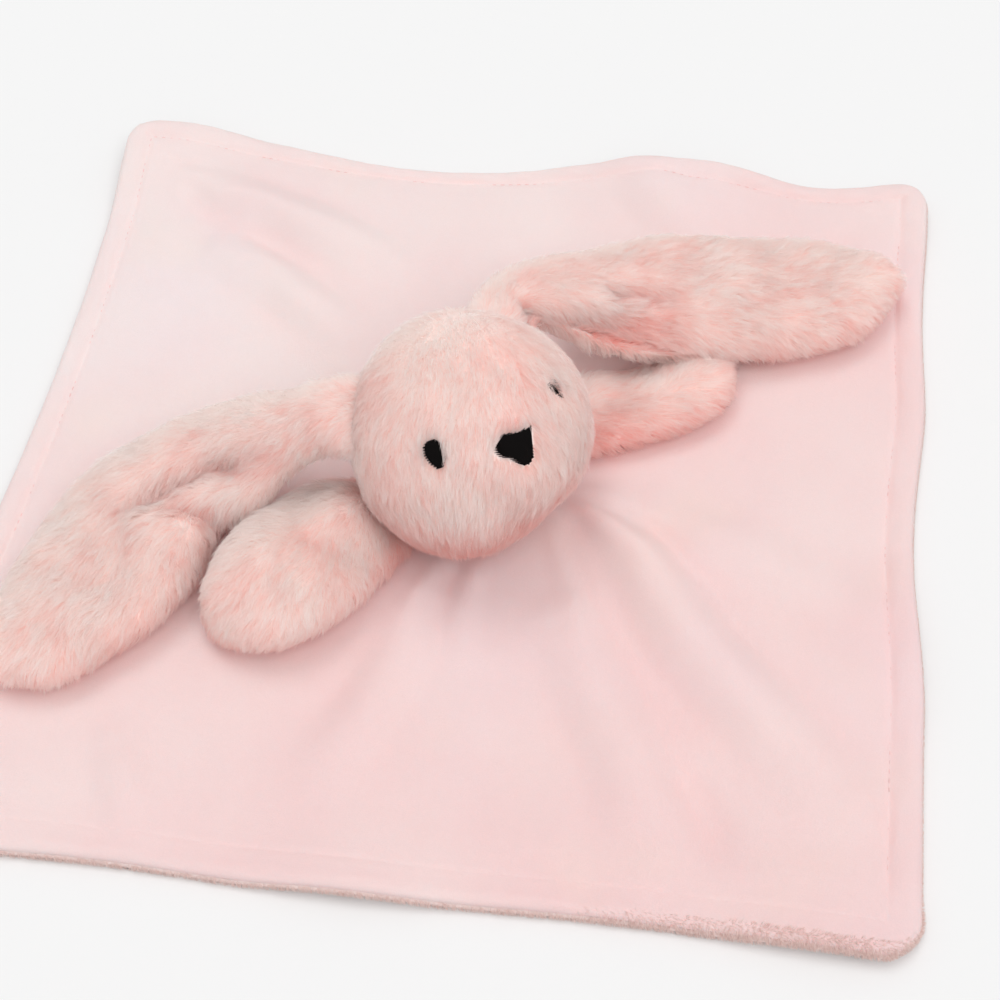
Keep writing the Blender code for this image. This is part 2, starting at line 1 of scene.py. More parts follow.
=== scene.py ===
import bpy
import numpy as np
from mathutils import Matrix
from mathutils.bvhtree import BVHTree
from mathutils.kdtree import KDTree


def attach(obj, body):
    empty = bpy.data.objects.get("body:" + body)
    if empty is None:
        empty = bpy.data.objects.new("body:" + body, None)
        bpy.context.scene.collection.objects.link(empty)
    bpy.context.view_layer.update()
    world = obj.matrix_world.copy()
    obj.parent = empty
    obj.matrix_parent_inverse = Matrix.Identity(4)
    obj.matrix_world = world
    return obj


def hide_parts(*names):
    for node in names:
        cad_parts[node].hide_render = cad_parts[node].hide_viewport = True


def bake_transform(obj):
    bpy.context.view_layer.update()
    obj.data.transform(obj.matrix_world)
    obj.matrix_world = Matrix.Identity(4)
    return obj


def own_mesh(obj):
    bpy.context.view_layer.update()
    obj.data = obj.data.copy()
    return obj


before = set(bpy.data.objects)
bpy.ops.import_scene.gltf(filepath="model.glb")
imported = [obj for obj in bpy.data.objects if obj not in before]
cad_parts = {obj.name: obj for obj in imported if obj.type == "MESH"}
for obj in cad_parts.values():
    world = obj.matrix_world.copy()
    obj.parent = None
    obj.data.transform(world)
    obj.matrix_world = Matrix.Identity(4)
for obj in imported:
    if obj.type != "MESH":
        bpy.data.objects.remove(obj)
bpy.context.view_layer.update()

MM = 0.001

# The rabbit's own directions, its head and its face
AHEAD = np.array([np.sqrt(0.5), -np.sqrt(0.5), 0.0])
ACROSS = np.array([np.sqrt(0.5), np.sqrt(0.5), 0.0])
UP = np.array([0.0, 0.0, 1.0])
HEAD_RADIUS = 39.5 * MM
HEAD_CENTRE = ACROSS * -3.9 * MM + AHEAD * 17.1 * MM + UP * 47.2 * MM
FACE_TURN, FACE_RISE = np.radians(-2.5), np.radians(40.0)


def turned(vector, angle):
    """A level vector turned about the upright."""
    return vector * np.cos(angle) + np.cross(UP, vector) * np.sin(angle)


FACE_SIDE = turned(ACROSS, FACE_TURN)
FACE_OUT = turned(AHEAD, FACE_TURN) * np.cos(FACE_RISE) + UP * np.sin(FACE_RISE)
FACE_CROWN = np.cross(FACE_OUT, FACE_SIDE)


# Numbers over arrays of points

TINY = 1e-12
WAVES, WAVE_SPREAD, WAVE_CREST = 7, (0.6, 1.4), 3.2


def unit(vectors):
    return vectors / np.maximum(np.linalg.norm(vectors, axis=-1, keepdims=True), TINY)


def bump(distance, reach):
    share = np.minimum(np.abs(distance) / reach, 1.0)
    return (1.0 - share * share) ** 2


def mound(places, centre, reach):
    return bump(np.linalg.norm(places - np.array(centre), axis=1), reach)


def smooth(value, low, high):
    share = np.clip((value - low) / (high - low), 0.0, 1.0)
    return share * share * (3.0 - 2.0 * share)


def dot(a, b):
    return (a * b).sum(axis=-1)


def wave(points, size, seed):
    """Smooth noise from -1 to 1 with features of about the size given."""
    chance = np.random.default_rng(seed)
    total = 0.0
    for _ in range(WAVES):
        way = chance.normal(size=points.shape[-1])
        way *= np.pi / (size * np.linalg.norm(way)) * chance.uniform(*WAVE_SPREAD)
        total = total + np.sin(points @ way + chance.uniform(0, 2 * np.pi))
    return np.clip(total / WAVE_CREST, -1.0, 1.0)


def line_reach(points, line):
    """Distance to a polyline, share of its length at the nearest place, and side (left is above 0)."""
    line = np.asarray(line, float)
    best = np.full(len(points), np.inf)
    share, side = np.zeros(len(points)), np.zeros(len(points))
    lengths = np.linalg.norm(np.diff(line, axis=0), axis=1)
    before = 0.0
    for start, end, length in zip(line, line[1:], lengths):
        along = (end - start) / length
        place = np.clip((points - start) @ along, 0.0, length)
        off = points - start - place[:, None] * along
        away = np.linalg.norm(off, axis=1)
        near = away < best
        best[near] = away[near]
        share[near] = (before + place[near]) / lengths.sum()
        side[near] = np.sign(along[0] * off[near, 1] - along[1] * off[near, 0])
        before += length
    return best, share, side


def catmull(rows, count):
    """Rows of numbers along a smooth curve through the given rows."""
    rows = np.asarray(rows, float)
    place = np.linspace(0, len(rows) - 1, count)
    here = np.minimum(place.astype(int), len(rows) - 2)
    t = (place - here)[:, None]
    p0, p1 = rows[np.maximum(here - 1, 0)], rows[here]
    p2, p3 = rows[here + 1], rows[np.minimum(here + 2, len(rows) - 1)]
    return p1 + (p2 - p0 + (2 * p0 - 5 * p1 + 4 * p2 - p3 + (3 * (p1 - p2) + p3 - p0) * t) * t) * t / 2


# Meshes and materials


def add_object(name, data):
    item = bpy.data.objects.new(name, data)
    bpy.context.scene.collection.objects.link(item)
    return item


def make_mesh(name, points, loops, starts, material):
    """A smooth object from points, its faces' corners in one row, and where in it each face starts."""
    mesh = bpy.data.meshes.new(name)
    mesh.vertices.add(len(points))
    mesh.vertices.foreach_set("co", np.asarray(points, np.float32).ravel())
    mesh.loops.add(len(loops))
    mesh.loops.foreach_set("vertex_index", loops.astype(np.int32))
    mesh.polygons.add(len(starts))
    mesh.polygons.foreach_set("loop_start", starts.astype(np.int32))
    mesh.update(calc_edges=True)
    mesh.shade_smooth()
    mesh.materials.append(material)
    return add_object(name, mesh)


def make_piece(name, points, faces, material):
    """An object from points and faces, where faces are arrays of triangles or quads."""
    faces = [np.asarray(part) for part in faces]
    loops = np.concatenate([part.ravel() for part in faces])
    sizes = np.concatenate([np.full(len(part), part.shape[1]) for part in faces])
    return make_mesh(name, points, loops, np.cumsum(sizes) - sizes, material)


def vertex_normals(piece):
    normals = np.zeros(len(piece.data.vertices) * 3, np.float32)
    piece.data.vertex_normals.foreach_get("vector", normals)
    return normals.reshape(-1, 3).astype(float)


def grid_faces(rows, columns, closed):
    """Quads of a grid of rows by columns, its columns closed into rings or not."""
    r, c = np.meshgrid(np.arange(rows - 1), np.arange(columns if closed else columns - 1), indexing="ij")
    a = (r * columns + c).ravel()
    b = (r * columns + (c + 1) % columns).ravel()
    return np.stack([a, b, b + columns, a + columns], axis=1)


def split(quads):
    return np.concatenate([quads[:, [0, 1, 2]], quads[:, [0, 2, 3]]])


def outward_piece(name, points, faces, ways, material):
    """A piece whose faces look along the ways given at its points, with those faces."""
    piece = make_piece(name, points, faces, material)
    if dot(vertex_normals(piece)[:len(ways)], ways).mean() < 0:
        bpy.data.objects.remove(piece)
        faces = [part[:, ::-1] for part in faces]
        piece = make_piece(name, points, faces, material)
    return piece, faces


def as_skin(piece, points, faces):
    """Points, triangles and normals for fibres to stand on."""
    triangles = [split(part) if part.shape[1] == 4 else part for part in faces]
    return points, np.concatenate(triangles), vertex_normals(piece)


class Nodes:
    """A material's node tree, with the few things that every material here needs."""

    def __init__(self, name):
        self.material = bpy.data.materials.new(name)
        self.material.use_nodes = True
        self.tree = self.material.node_tree
        self.shader = self.tree.nodes["Principled BSDF"]

    def add(self, kind, **settings):
        node = self.tree.nodes.new("ShaderNode" + kind)
        for key, value in settings.items():
            if hasattr(node, key):
                setattr(node, key, value)
            else:
                node.inputs[key.replace("_", " ")].default_value = value
        return node

    def link(self, out, into):
        self.tree.links.new(out, into)

    def paint(self, colour):
        self.link(colour, self.shader.inputs["Base Color"])

    def ramp(self, value, stops):
        node = self.add("ValToRGB")
        marks = node.color_ramp.elements
        while len(marks) < len(stops):
            marks.new(0.5)
        for mark, (place, colour) in zip(marks, stops):
            mark.position = place
            mark.color = (*colour, 1.0)
        self.link(value, node.inputs[0])
        return node.outputs[0]

    def noise(self, scale, detail=2.0, rough=0.5):
        node = self.add("TexNoise", Scale=scale, Detail=detail, Roughness=rough)
        self.link(self.place(), node.inputs["Vector"])
        return node.outputs["Fac"]

    def place(self):
        if not hasattr(self, "coordinates"):
            self.coordinates = self.add("TexCoord").outputs["Object"]
        return self.coordinates

    def mix(self, share, first, second, blend="MIX"):
        node = self.add("Mix", data_type="RGBA", blend_type=blend)
        for value, socket in ((share, 0), (first, 6), (second, 7)):
            if isinstance(value, (int, float)):
                node.inputs[socket].default_value = value
            elif isinstance(value, tuple):
                node.inputs[socket].default_value = (*value, 1.0)
            else:
                self.link(value, node.inputs[socket])
        return node.outputs[2]

    def range(self, value, low, high, new_low, new_high):
        node = self.add("MapRange")
        sockets = "From Min", "From Max", "To Min", "To Max"
        for socket, number in zip(sockets, (low, high, new_low, new_high)):
            node.inputs[socket].default_value = number
        self.link(value, node.inputs["Value"])
        return node.outputs[0]

    def bump(self, height, depth, strength):
        node = self.add("Bump", Strength=strength, Distance=depth)
        self.link(height, node.inputs["Height"])
        self.link(node.outputs[0], self.shader.inputs["Normal"])

    def finish(self, roughness, specular, sheen=0.0, sheen_roughness=0.5, sheen_tint=(1, 1, 1)):
        for name, value in (
            ("Roughness", roughness), ("Specular IOR Level", specular), ("Sheen Weight", sheen),
            ("Sheen Roughness", sheen_roughness), ("Sheen Tint", (*sheen_tint, 1.0)),
        ):
            self.shader.inputs[name].default_value = value
        return self.material


def pile_material(name, pale, deep, through):
    """Fibres that let part of the light through. U of their map holds each fibre's tone, and V runs
    from root to tip, along which pale and deep each give three colours, darker at the root as
    painted shade deep in the pile."""
    nodes = Nodes(name)
    chart = nodes.add("UVMap", uv_map="OFBake")
    parts = nodes.add("SeparateXYZ")
    nodes.link(chart.outputs[0], parts.inputs[0])
    light, dark = [nodes.ramp(parts.outputs[1], tuple(zip(FIBRE_STOPS, tones))) for tones in (pale, deep)]
    colour = nodes.mix(parts.outputs[0], light, dark)
    nodes.paint(colour)
    inner = nodes.add("BsdfTranslucent")
    nodes.link(colour, inner.inputs["Color"])
    both = nodes.add("MixShader")
    both.inputs[0].default_value = through
    nodes.link(nodes.shader.outputs[0], both.inputs[1])
    nodes.link(inner.outputs[0], both.inputs[2])
    nodes.link(both.outputs[0], nodes.tree.nodes["Material Output"].inputs["Surface"])
    return nodes.finish(roughness=0.9, specular=0.1, sheen=0.3, sheen_tint=(1.0, 0.93, 0.92))


def grained_material(name, tones, spread, grain, relief, depth, strength, **finish):
    """Cloth or thread in two tones, spread about the middle of its grain, and raised by its relief.
    Grain and relief are noises, the same one if relief is None."""
    nodes = Nodes(name)
    noise = nodes.noise(**grain)
    nodes.paint(nodes.ramp(noise, ((0.5 - spread, tones[0]), (0.5 + spread, tones[1]))))
    nodes.bump(nodes.noise(**relief) if relief else noise, depth * MM, strength)
    return nodes.finish(**finish)


def velour_material(name):
    """Short velvety pile: soft broad blotches where it leans either way, a fine grain, and painted shade
    toward its front right, in its hollows and next to the soft parts.
    """
    nodes = Nodes(name)
    colour = nodes.ramp(nodes.noise(scale=11.0), ((0.30, VELOUR_PINK), (0.70, VELOUR_PALE)))
    for scale, detail, low, high, most, tint in BLOTCHES:
        share = nodes.range(nodes.noise(scale=scale, detail=detail), low, high, 0.0, most)
        colour = nodes.mix(share, colour, tint)
    # Painted shade across the cloth: deeper and pinker toward its front right than its back left
    parts = nodes.add("SeparateXYZ")
    nodes.link(nodes.place(), parts.inputs[0])
    across = nodes.add("Math", operation="SUBTRACT")
    for k in range(2):
        nodes.link(parts.outputs[k], across.inputs[k])
    toward_shaded_side = nodes.range(across.outputs[0], -SHADED_SIDE_REACH, SHADED_SIDE_REACH, 0.0, 1.0)
    colour = nodes.mix(1.0, colour, nodes.ramp(toward_shaded_side, ((0.0, WHITE), (1.0, VELOUR_SHADED_SIDE))), "MULTIPLY")
    # Painted shade: a deeper pink mixed in at the cloth's hollows and next to the soft parts that lie on it
    painted_shade = nodes.add("Attribute", attribute_name="painted_shade")
    colour = nodes.mix(painted_shade.outputs["Fac"], colour, VELOUR_PAINTED_SHADE)
    grain = nodes.noise(scale=2600.0, detail=3.0, rough=0.6)
    dabs = nodes.range(grain, 0.3, 0.7, 0.955, 1.0)
    colour = nodes.mix(1.0, colour, nodes.ramp(dabs, ((0.0, BLACK), (1.0, WHITE))), "MULTIPLY")
    nodes.paint(colour)
    nodes.bump(nodes.mix(0.4, grain, nodes.noise(scale=700.0)), depth=0.35 * MM, strength=0.5)
    nodes.shader.subsurface_method = "BURLEY"
    nodes.shader.inputs["Subsurface Weight"].default_value = 0.5
    nodes.shader.inputs["Subsurface Radius"].default_value = (1.0, 0.3, 0.25)
    nodes.shader.inputs["Subsurface Scale"].default_value = 9 * MM
    return nodes.finish(0.95, specular=0.1, sheen=0.25, sheen_roughness=0.35, sheen_tint=(1.0, 0.9, 0.9))


FIBRE_STOPS = 0.0, 0.45, 1.0
WHITE, BLACK = (1.0, 1.0, 1.0), (0.0, 0.0, 0.0)
VELOUR_PINK, VELOUR_PALE = (0.880, 0.705, 0.695), (0.890, 0.780, 0.760)
# Mauve and peach places: scale and detail of their noise, where in it they start and are full, and share
BLOTCHES = (
    (7.0, 1.0, 0.56, 0.72, 0.5, (0.880, 0.76, 0.785)), (17.0, 2.0, 0.60, 0.75, 0.35, (0.890, 0.77, 0.71)),
)
# Painted shade: the tone multiplied in toward the cloth's front right, and the colour mixed in at its
# hollows and next to the soft parts
VELOUR_SHADED_SIDE, VELOUR_PAINTED_SHADE = (0.995, 0.875, 0.88), (0.880, 0.50, 0.49)
SHADED_SIDE_REACH = 200 * MM
# Deep serves both the random deeper tufts and the painted shade that each piece's tone adds; both sets
# darken toward the root as painted shade
PLUSH = pile_material(
    "plush_fibre",
    pale=((0.99, 0.925, 0.90), (0.99, 0.965, 0.95), (0.99, 0.985, 0.975)),
    deep=((0.99, 0.60, 0.55), (0.99, 0.74, 0.70), (0.99, 0.84, 0.815)),
    through=0.75,
)
SKIN = grained_material(
    "plush_backing", ((0.99, 0.81, 0.77), (0.99, 0.87, 0.84)), 0.2, {"scale": 900.0, "detail": 3.0},
    {"scale": 1400.0}, depth=0.3, strength=0.6, roughness=0.95, specular=0.1, sheen=0.1,
)
BACK_PILE = pile_material(
    "back_fibre",
    pale=((0.80, 0.62, 0.58), (0.86, 0.70, 0.66), (0.91, 0.78, 0.74)),
    deep=((0.66, 0.48, 0.45), (0.76, 0.58, 0.54), (0.83, 0.68, 0.64)),
    through=0.4,
)
VELOUR = velour_material("velour")
BACKING = grained_material(
    "back_plush", ((0.78, 0.60, 0.57), (0.90, 0.74, 0.71)), 0.22,
    {"scale": 420.0, "detail": 3.0, "rough": 0.65}, None,
    depth=1.2, strength=0.8, roughness=0.95, specular=0.1, sheen=0.2,
)
PINK_THREAD, BLACK_THREAD = [
    grained_material(
        name, (tuple(value * 0.85 for value in colour), colour), 0.15, {"scale": 2500.0}, None,
        depth=0.08, strength=0.5, roughness=roughness, specular=0.06,
    )
    for name, colour, roughness in (
        ("pink_thread", (0.90, 0.60, 0.59), 0.9), ("black_thread", (0.005, 0.004, 0.004), 0.8),
    )
]


# The cloth: the same square, drawn-in edges, lifts and folds as the solids, and finer creases

SIDE = 340 * MM
HALF = SIDE / 2
CORNER_RADIUS = 12.5 * MM
EDGE_PULL, EDGE_PULL_DEPTH, EDGE_LIFT = 15 * MM, 0.45, 11 * MM
FOLD_WIDTH, FOLD_HEIGHT = 21 * MM, 8.5 * MM
# Where each edge is drawn in: place along it, reach along it and share of the pull
BACK_PULLS = (
    (-1.0, 0.16, 0.20), (-0.20, 0.62, 1.0), (0.36, 0.30, 0.20), (0.72, 0.26, 0.52), (1.0, 0.40, 0.40),
)
FRONT_PULLS = ((-0.55, 0.34, 0.10), (0.45, 0.50, 0.14))
LEFT_PULLS = ((0.20, 0.90, 0.34),)
RIGHT_PULLS = ((-0.10, 0.40, 0.26), (0.55, 0.30, 0.10))
# Lifted places: x, y and reach in half squares, and share of the lift
LIFTS = (
    (-1.0, 1.0, 0.36, 0.72),
    (1.0, 1.0, 0.30, 0.24),
    (0.36, 1.04, 0.36, 0.55),
    (1.0, -0.35, 0.26, 0.28),
    (0.84, -1.04, 0.26, 0.30),
    (-0.05, -1.04, 0.24, 0.30),
)
# Long folds: three points in half squares, then shares of the width and of the height
FOLDS = (
    ((0.33, -0.10), (0.56, -0.42), (0.84, -0.70), 0.90, 1.00),
    ((0.28, -0.38), (0.43, -0.64), (0.51, -0.84), 0.85, 0.70),
    ((0.00, -0.36), (-0.07, -0.60), (-0.15, -0.78), 0.70, 0.45),
    ((0.46, -0.10), (0.67, -0.18), (0.86, -0.28), 0.85, 0.45),
    ((-0.78, 0.80), (-0.51, 0.70), (-0.26, 0.58), 0.80, 0.85),
    ((-0.66, 0.58), (-0.47, 0.46), (-0.32, 0.36), 0.70, 0.75),
    ((0.30, 0.94), (0.38, 0.84), (0.44, 0.74), 0.85, 0.50),
    ((-0.56, -0.76), (-0.52, -0.84), (-0.47, -0.92), 0.60, 0.40),
)
# Fine creases: points in millimetres, half width, height (below 0 is a valley)
CREASES = (
    (((46, -10), (70, -20), (98, -30)), 5.0, -1.5),
    (((45, -14), (70, -32), (92, -54)), 5.0, 1.7),
    (((43, -17), (62, -42), (78, -72)), 5.5, -1.6),
    (((38, -26), (50, -52), (60, -84)), 5.0, 1.3),
    (((14, -42), (13, -66), (16, -92)), 5.0, 1.4),
    (((6, -43), (4, -62), (2, -86)), 4.5, -1.5),
    (((0, -43), (-6, -60), (-12, -82)), 4.5, 1.2),
    (((-141, 139), (-132, 128), (-124, 122), (-105, 120), (-88, 107), (-69, 101)), 7.0, -2.0),
    (((-104, 93), (-93, 83), (-80, 71)), 8.0, -1.6),
    (((-155, 152), (-141, 147), (-122, 142)), 4.0, -1.2),
    (((145, 157), (148, 149), (154, 148), (161, 154)), 4.5, -1.8),
    (((92, -116), (102, -130), (116, -154)), 9.0, -2.2),
    (((120, 121), (140, 131), (152, 139)), 6.0, -1.2),
)


def edge_pull(place, rows):
    return sum(EDGE_PULL * depth * bump(place - centre, reach) for centre, reach, depth in rows)


def near_edge(share):
    return np.maximum(0, (share - 1 + EDGE_PULL_DEPTH) / EDGE_PULL_DEPTH) ** 2


def cloth_place(x, y):
    """Where shares of the flat square lie once its corners are rounded and its edges drawn in."""
    start = 1 - CORNER_RADIUS / HALF
    past_x, past_y = [(np.abs(share) - start) / (1 - start) for share in (x, y)]
    turns = np.minimum(past_x, past_y) > 0
    near_x = start + (1 - start) * past_x * np.sqrt(np.maximum(1 - past_y**2 / 2, 0))
    near_y = start + (1 - start) * past_y * np.sqrt(np.maximum(1 - past_x**2 / 2, 0))
    x = np.where(turns, np.copysign(near_x, x), x)
    y = np.where(turns, np.copysign(near_y, y), y)
    x_pull = near_edge(x) * edge_pull(y, RIGHT_PULLS) - near_edge(-x) * edge_pull(y, LEFT_PULLS)
    y_pull = near_edge(y) * edge_pull(x, BACK_PULLS) - near_edge(-y) * edge_pull(x, FRONT_PULLS)
    return x * HALF - x_pull, y * HALF - y_pull


def cloth_lift(x, y):
    """How far the cloth stands off the surface, from folds, lifted edges and fine creases."""
    places = np.stack([x, y], axis=-1).reshape(-1, 2)
    lift = np.zeros(len(places))
    for first, second, third, width, height in FOLDS:
        away, share, _ = line_reach(places, np.array([first, second, third]) * HALF)
        taper = smooth(share, -0.35, 0.35) * (1 - smooth(share, 0.6, 1.25))
        lift = np.maximum(lift, FOLD_HEIGHT * height * bump(away, FOLD_WIDTH * width) * taper)
    for x_share, y_share, reach, height in LIFTS:
        lift += EDGE_LIFT * height * mound(places, np.array([x_share, y_share]) * HALF, reach * HALF)
    return lift.reshape(np.shape(x))


def cloth_ripple(x, y):
    """Creases and slack too fine for the solids."""
    places = np.stack([x, y], axis=-1).reshape(-1, 2)
    ripple = 0.45 * MM * (wave(places, 34 * MM, 3) + 1) + 0.14 * MM * wave(places, 12 * MM, 4)
    for line, width, height in CREASES:
        away, share, _ = line_reach(places, np.array(line) * MM)
        fade = 1.15 * smooth(share, -0.1, 0.15) * (1 - smooth(share, 0.5, 1.0))
        ripple += height * MM * bump(away, width * (1 + 0.8 * share) * MM) * fade
    return ripple.reshape(np.shape(x))


CLOTH_TOP = 5.5 * MM
STITCH_INSET = 10.2 * MM
# Rows across the hem: distance in from the edge and height, in millimetres
TOP_HEM = (
    (-0.35, 3.4), (-0.45, 4.2), (-0.15, 5.0), (0.5, 5.7), (1.5, 6.15), (3.0, 6.4), (4.8, 6.4), (6.4, 6.2),
    (7.8, 5.9), (8.8, 5.5), (9.6, 5.05), (10.2, 4.85), (10.8, 5.05), (11.6, 5.45), (13.2, 5.7),
)
UNDER_HEM = (
    (-0.35, 3.4), (-0.75, 3.0), (-0.95, 2.3), (-0.85, 1.5), (-0.4, 0.8), (0.6, 0.3), (2.0, 0.05), (3.5, 0.0),
    (8.0, 0.0), (9.6, 0.6), (10.4, 0.6), (12.0, 0.0),
)
HEM_BULGES = (0.45, 7, 11), (0.3, 19, 12)  # height and size in millimetres, and seed


def near_strip(y):
    return smooth(-y, 0.86 * HALF, 0.92 * HALF)


def cloth_sheet(name, hem, cell, material, is_front):
    """One panel with its half of the hem. Each of its points is on a ring, counted from the rim, and
    lies some way in from it."""
    hem = np.array(hem) * MM
    edge = 1 - hem[:, 0] / HALF
    count = int(round(edge[-1] * 2 * HALF / cell))
    inner = np.linspace(-edge[-1], edge[-1], count + 1)[1:-1]
    shares = np.concatenate([-edge, inner, edge[::-1]])
    x_share, y_share = np.meshgrid(shares, shares)
    x, y = cloth_place(x_share, y_share)
    inset = (1 - np.maximum(np.abs(x_share), np.abs(y_share))) * HALF
    index = np.arange(len(shares))
    depth = np.minimum(index, index[::-1])
    ring = np.minimum(depth[:, None], depth)
    height = hem[np.minimum(ring, len(hem) - 1), 1]
    flat = np.stack([x, y], axis=-1)
    if is_front:
        for bulge, size, seed in HEM_BULGES:
            height = height + bump(inset - 5 * MM, 7 * MM) * bulge * MM * wave(flat, size * MM, seed)
        height = height + cloth_ripple(x, y) * smooth(inset, 11 * MM, 22 * MM)
        height = height + 0.65 * MM * bump(inset - STITCH_INSET, 2.6 * MM) * near_strip(y)
        rolled = 0.8 * near_strip(y) * smooth(inset, 2 * MM, 6 * MM)
        height = height - rolled * np.maximum(height - 5.8 * MM, 0)
    points = np.stack([x, y, cloth_lift(x, y) + height], axis=-1).reshape(-1, 3)
    faces = grid_faces(len(shares), len(shares), False)
    if not is_front:
        faces = faces[:, ::-1]
    return make_piece(name, points, [faces], material), points, faces, ring.ravel(), inset.ravel()


CELL = 2.2 * MM
front, front_points, front_faces, front_ring, front_inset = cloth_sheet(
    "velour_top", TOP_HEM, CELL, VELOUR, True,
)
back, back_points, back_faces, back_ring, _ = cloth_sheet(
    "plush_underside", UNDER_HEM, CELL * 1.3, BACKING, False,
)


def cloth_top(points):
    """Height of the top of the cloth under points, smoothly enough for fibres to rest on."""
    return cloth_lift(points[:, 0], points[:, 1]) + CLOTH_TOP + 0.5 * MM


def thread_runs(name, paths, radius, material, sides=5):
    """Round threads along paths, each an array of points, with closed pointed ends."""
    points, quads = [], []
    turn = np.arange(sides) * 2 * np.pi / sides
    start = 0
    for path in paths:
        along = unit(np.gradient(path, axis=0))
        side = unit(np.cross(along, UP))
        over = np.cross(side, along)
        swell = np.sqrt(np.maximum(1 - np.linspace(-1, 1, len(path)) ** 4, 0.02)) * radius
        ring = side[:, None] * np.cos(turn)[None, :, None] + over[:, None] * np.sin(turn)[None, :, None]
        points.append((path[:, None] + ring * swell[:, None, None]).reshape(-1, 3))
        quads.append(grid_faces(len(path), sides, True) + start)
        start += len(path) * sides
    return make_piece(name, np.concatenate(points), [np.concatenate(quads)], material)


def topstitch():
    """Pink stitches in the nipped line inside the hem, all the way round."""
    pitch, long, height, radius, bends = 3.4 * MM, 2.2 * MM, 4.5 * MM, 0.2 * MM, 6
    paths = []
    share = 1 - STITCH_INSET / HALF
    count = int(2 * share * HALF / pitch)
    arch = 0.25 * MM * np.sin(np.linspace(0, np.pi, bends))
    across = np.full(bends, share)
    for turn in range(4):
        near_drop = 0.6 * MM * (turn == 2)
        for index in range(count):
            middle = -share + (index + 0.5) * pitch / HALF
            places = middle + np.linspace(-0.5, 0.5, bends) * long / HALF
            x, y = cloth_place(*(
                (places, across), (across, -places), (-places, -across), (-across, places)
            )[turn])
            sunk = 0.22 * MM * wave(np.stack([x, y], axis=1), 9 * MM, 13)
            paths.append(np.stack([x, y, cloth_lift(x, y) + height + arch + sunk - near_drop], axis=1))
    return thread_runs("topstitch", paths, radius, PINK_THREAD)


stitches = topstitch()


# Fibres

FIBRES_PER_MM2 = 5.0
# How fibres wander, how far and over what size, and how their lower and upper halves bend
SWAYS, TILTS = ((0.24, 13 * MM), (0.16, 5 * MM)), (0.12, 9 * MM)
LOWER_BEND, UPPER_BEND = -0.38, 0.42
TUFT_WILD, FIBRE_WILD = 0.20, 0.13
TUFT_SIZES, FIBRE_SIZES, FIBRE_WIDTHS, HOLDS = (0.85, 1.12), (0.72, 1.08), (0.75, 1.2), (0.25, 0.72)
GATHER = 0.72  # share of the way to its tuft that a fibre's tip goes
FLATTENED = 0.06  # share that is left of a fibre's depth below the top of the cloth
TONE, TUFT_TONES, FIBRE_TONES, TONE_ENDS = 0.20, 0.14, 0.12, (0.01, 0.97)


def bent(first, second, angle):
    return first * np.cos(angle)[:, None] + second * np.sin(angle)[:, None]


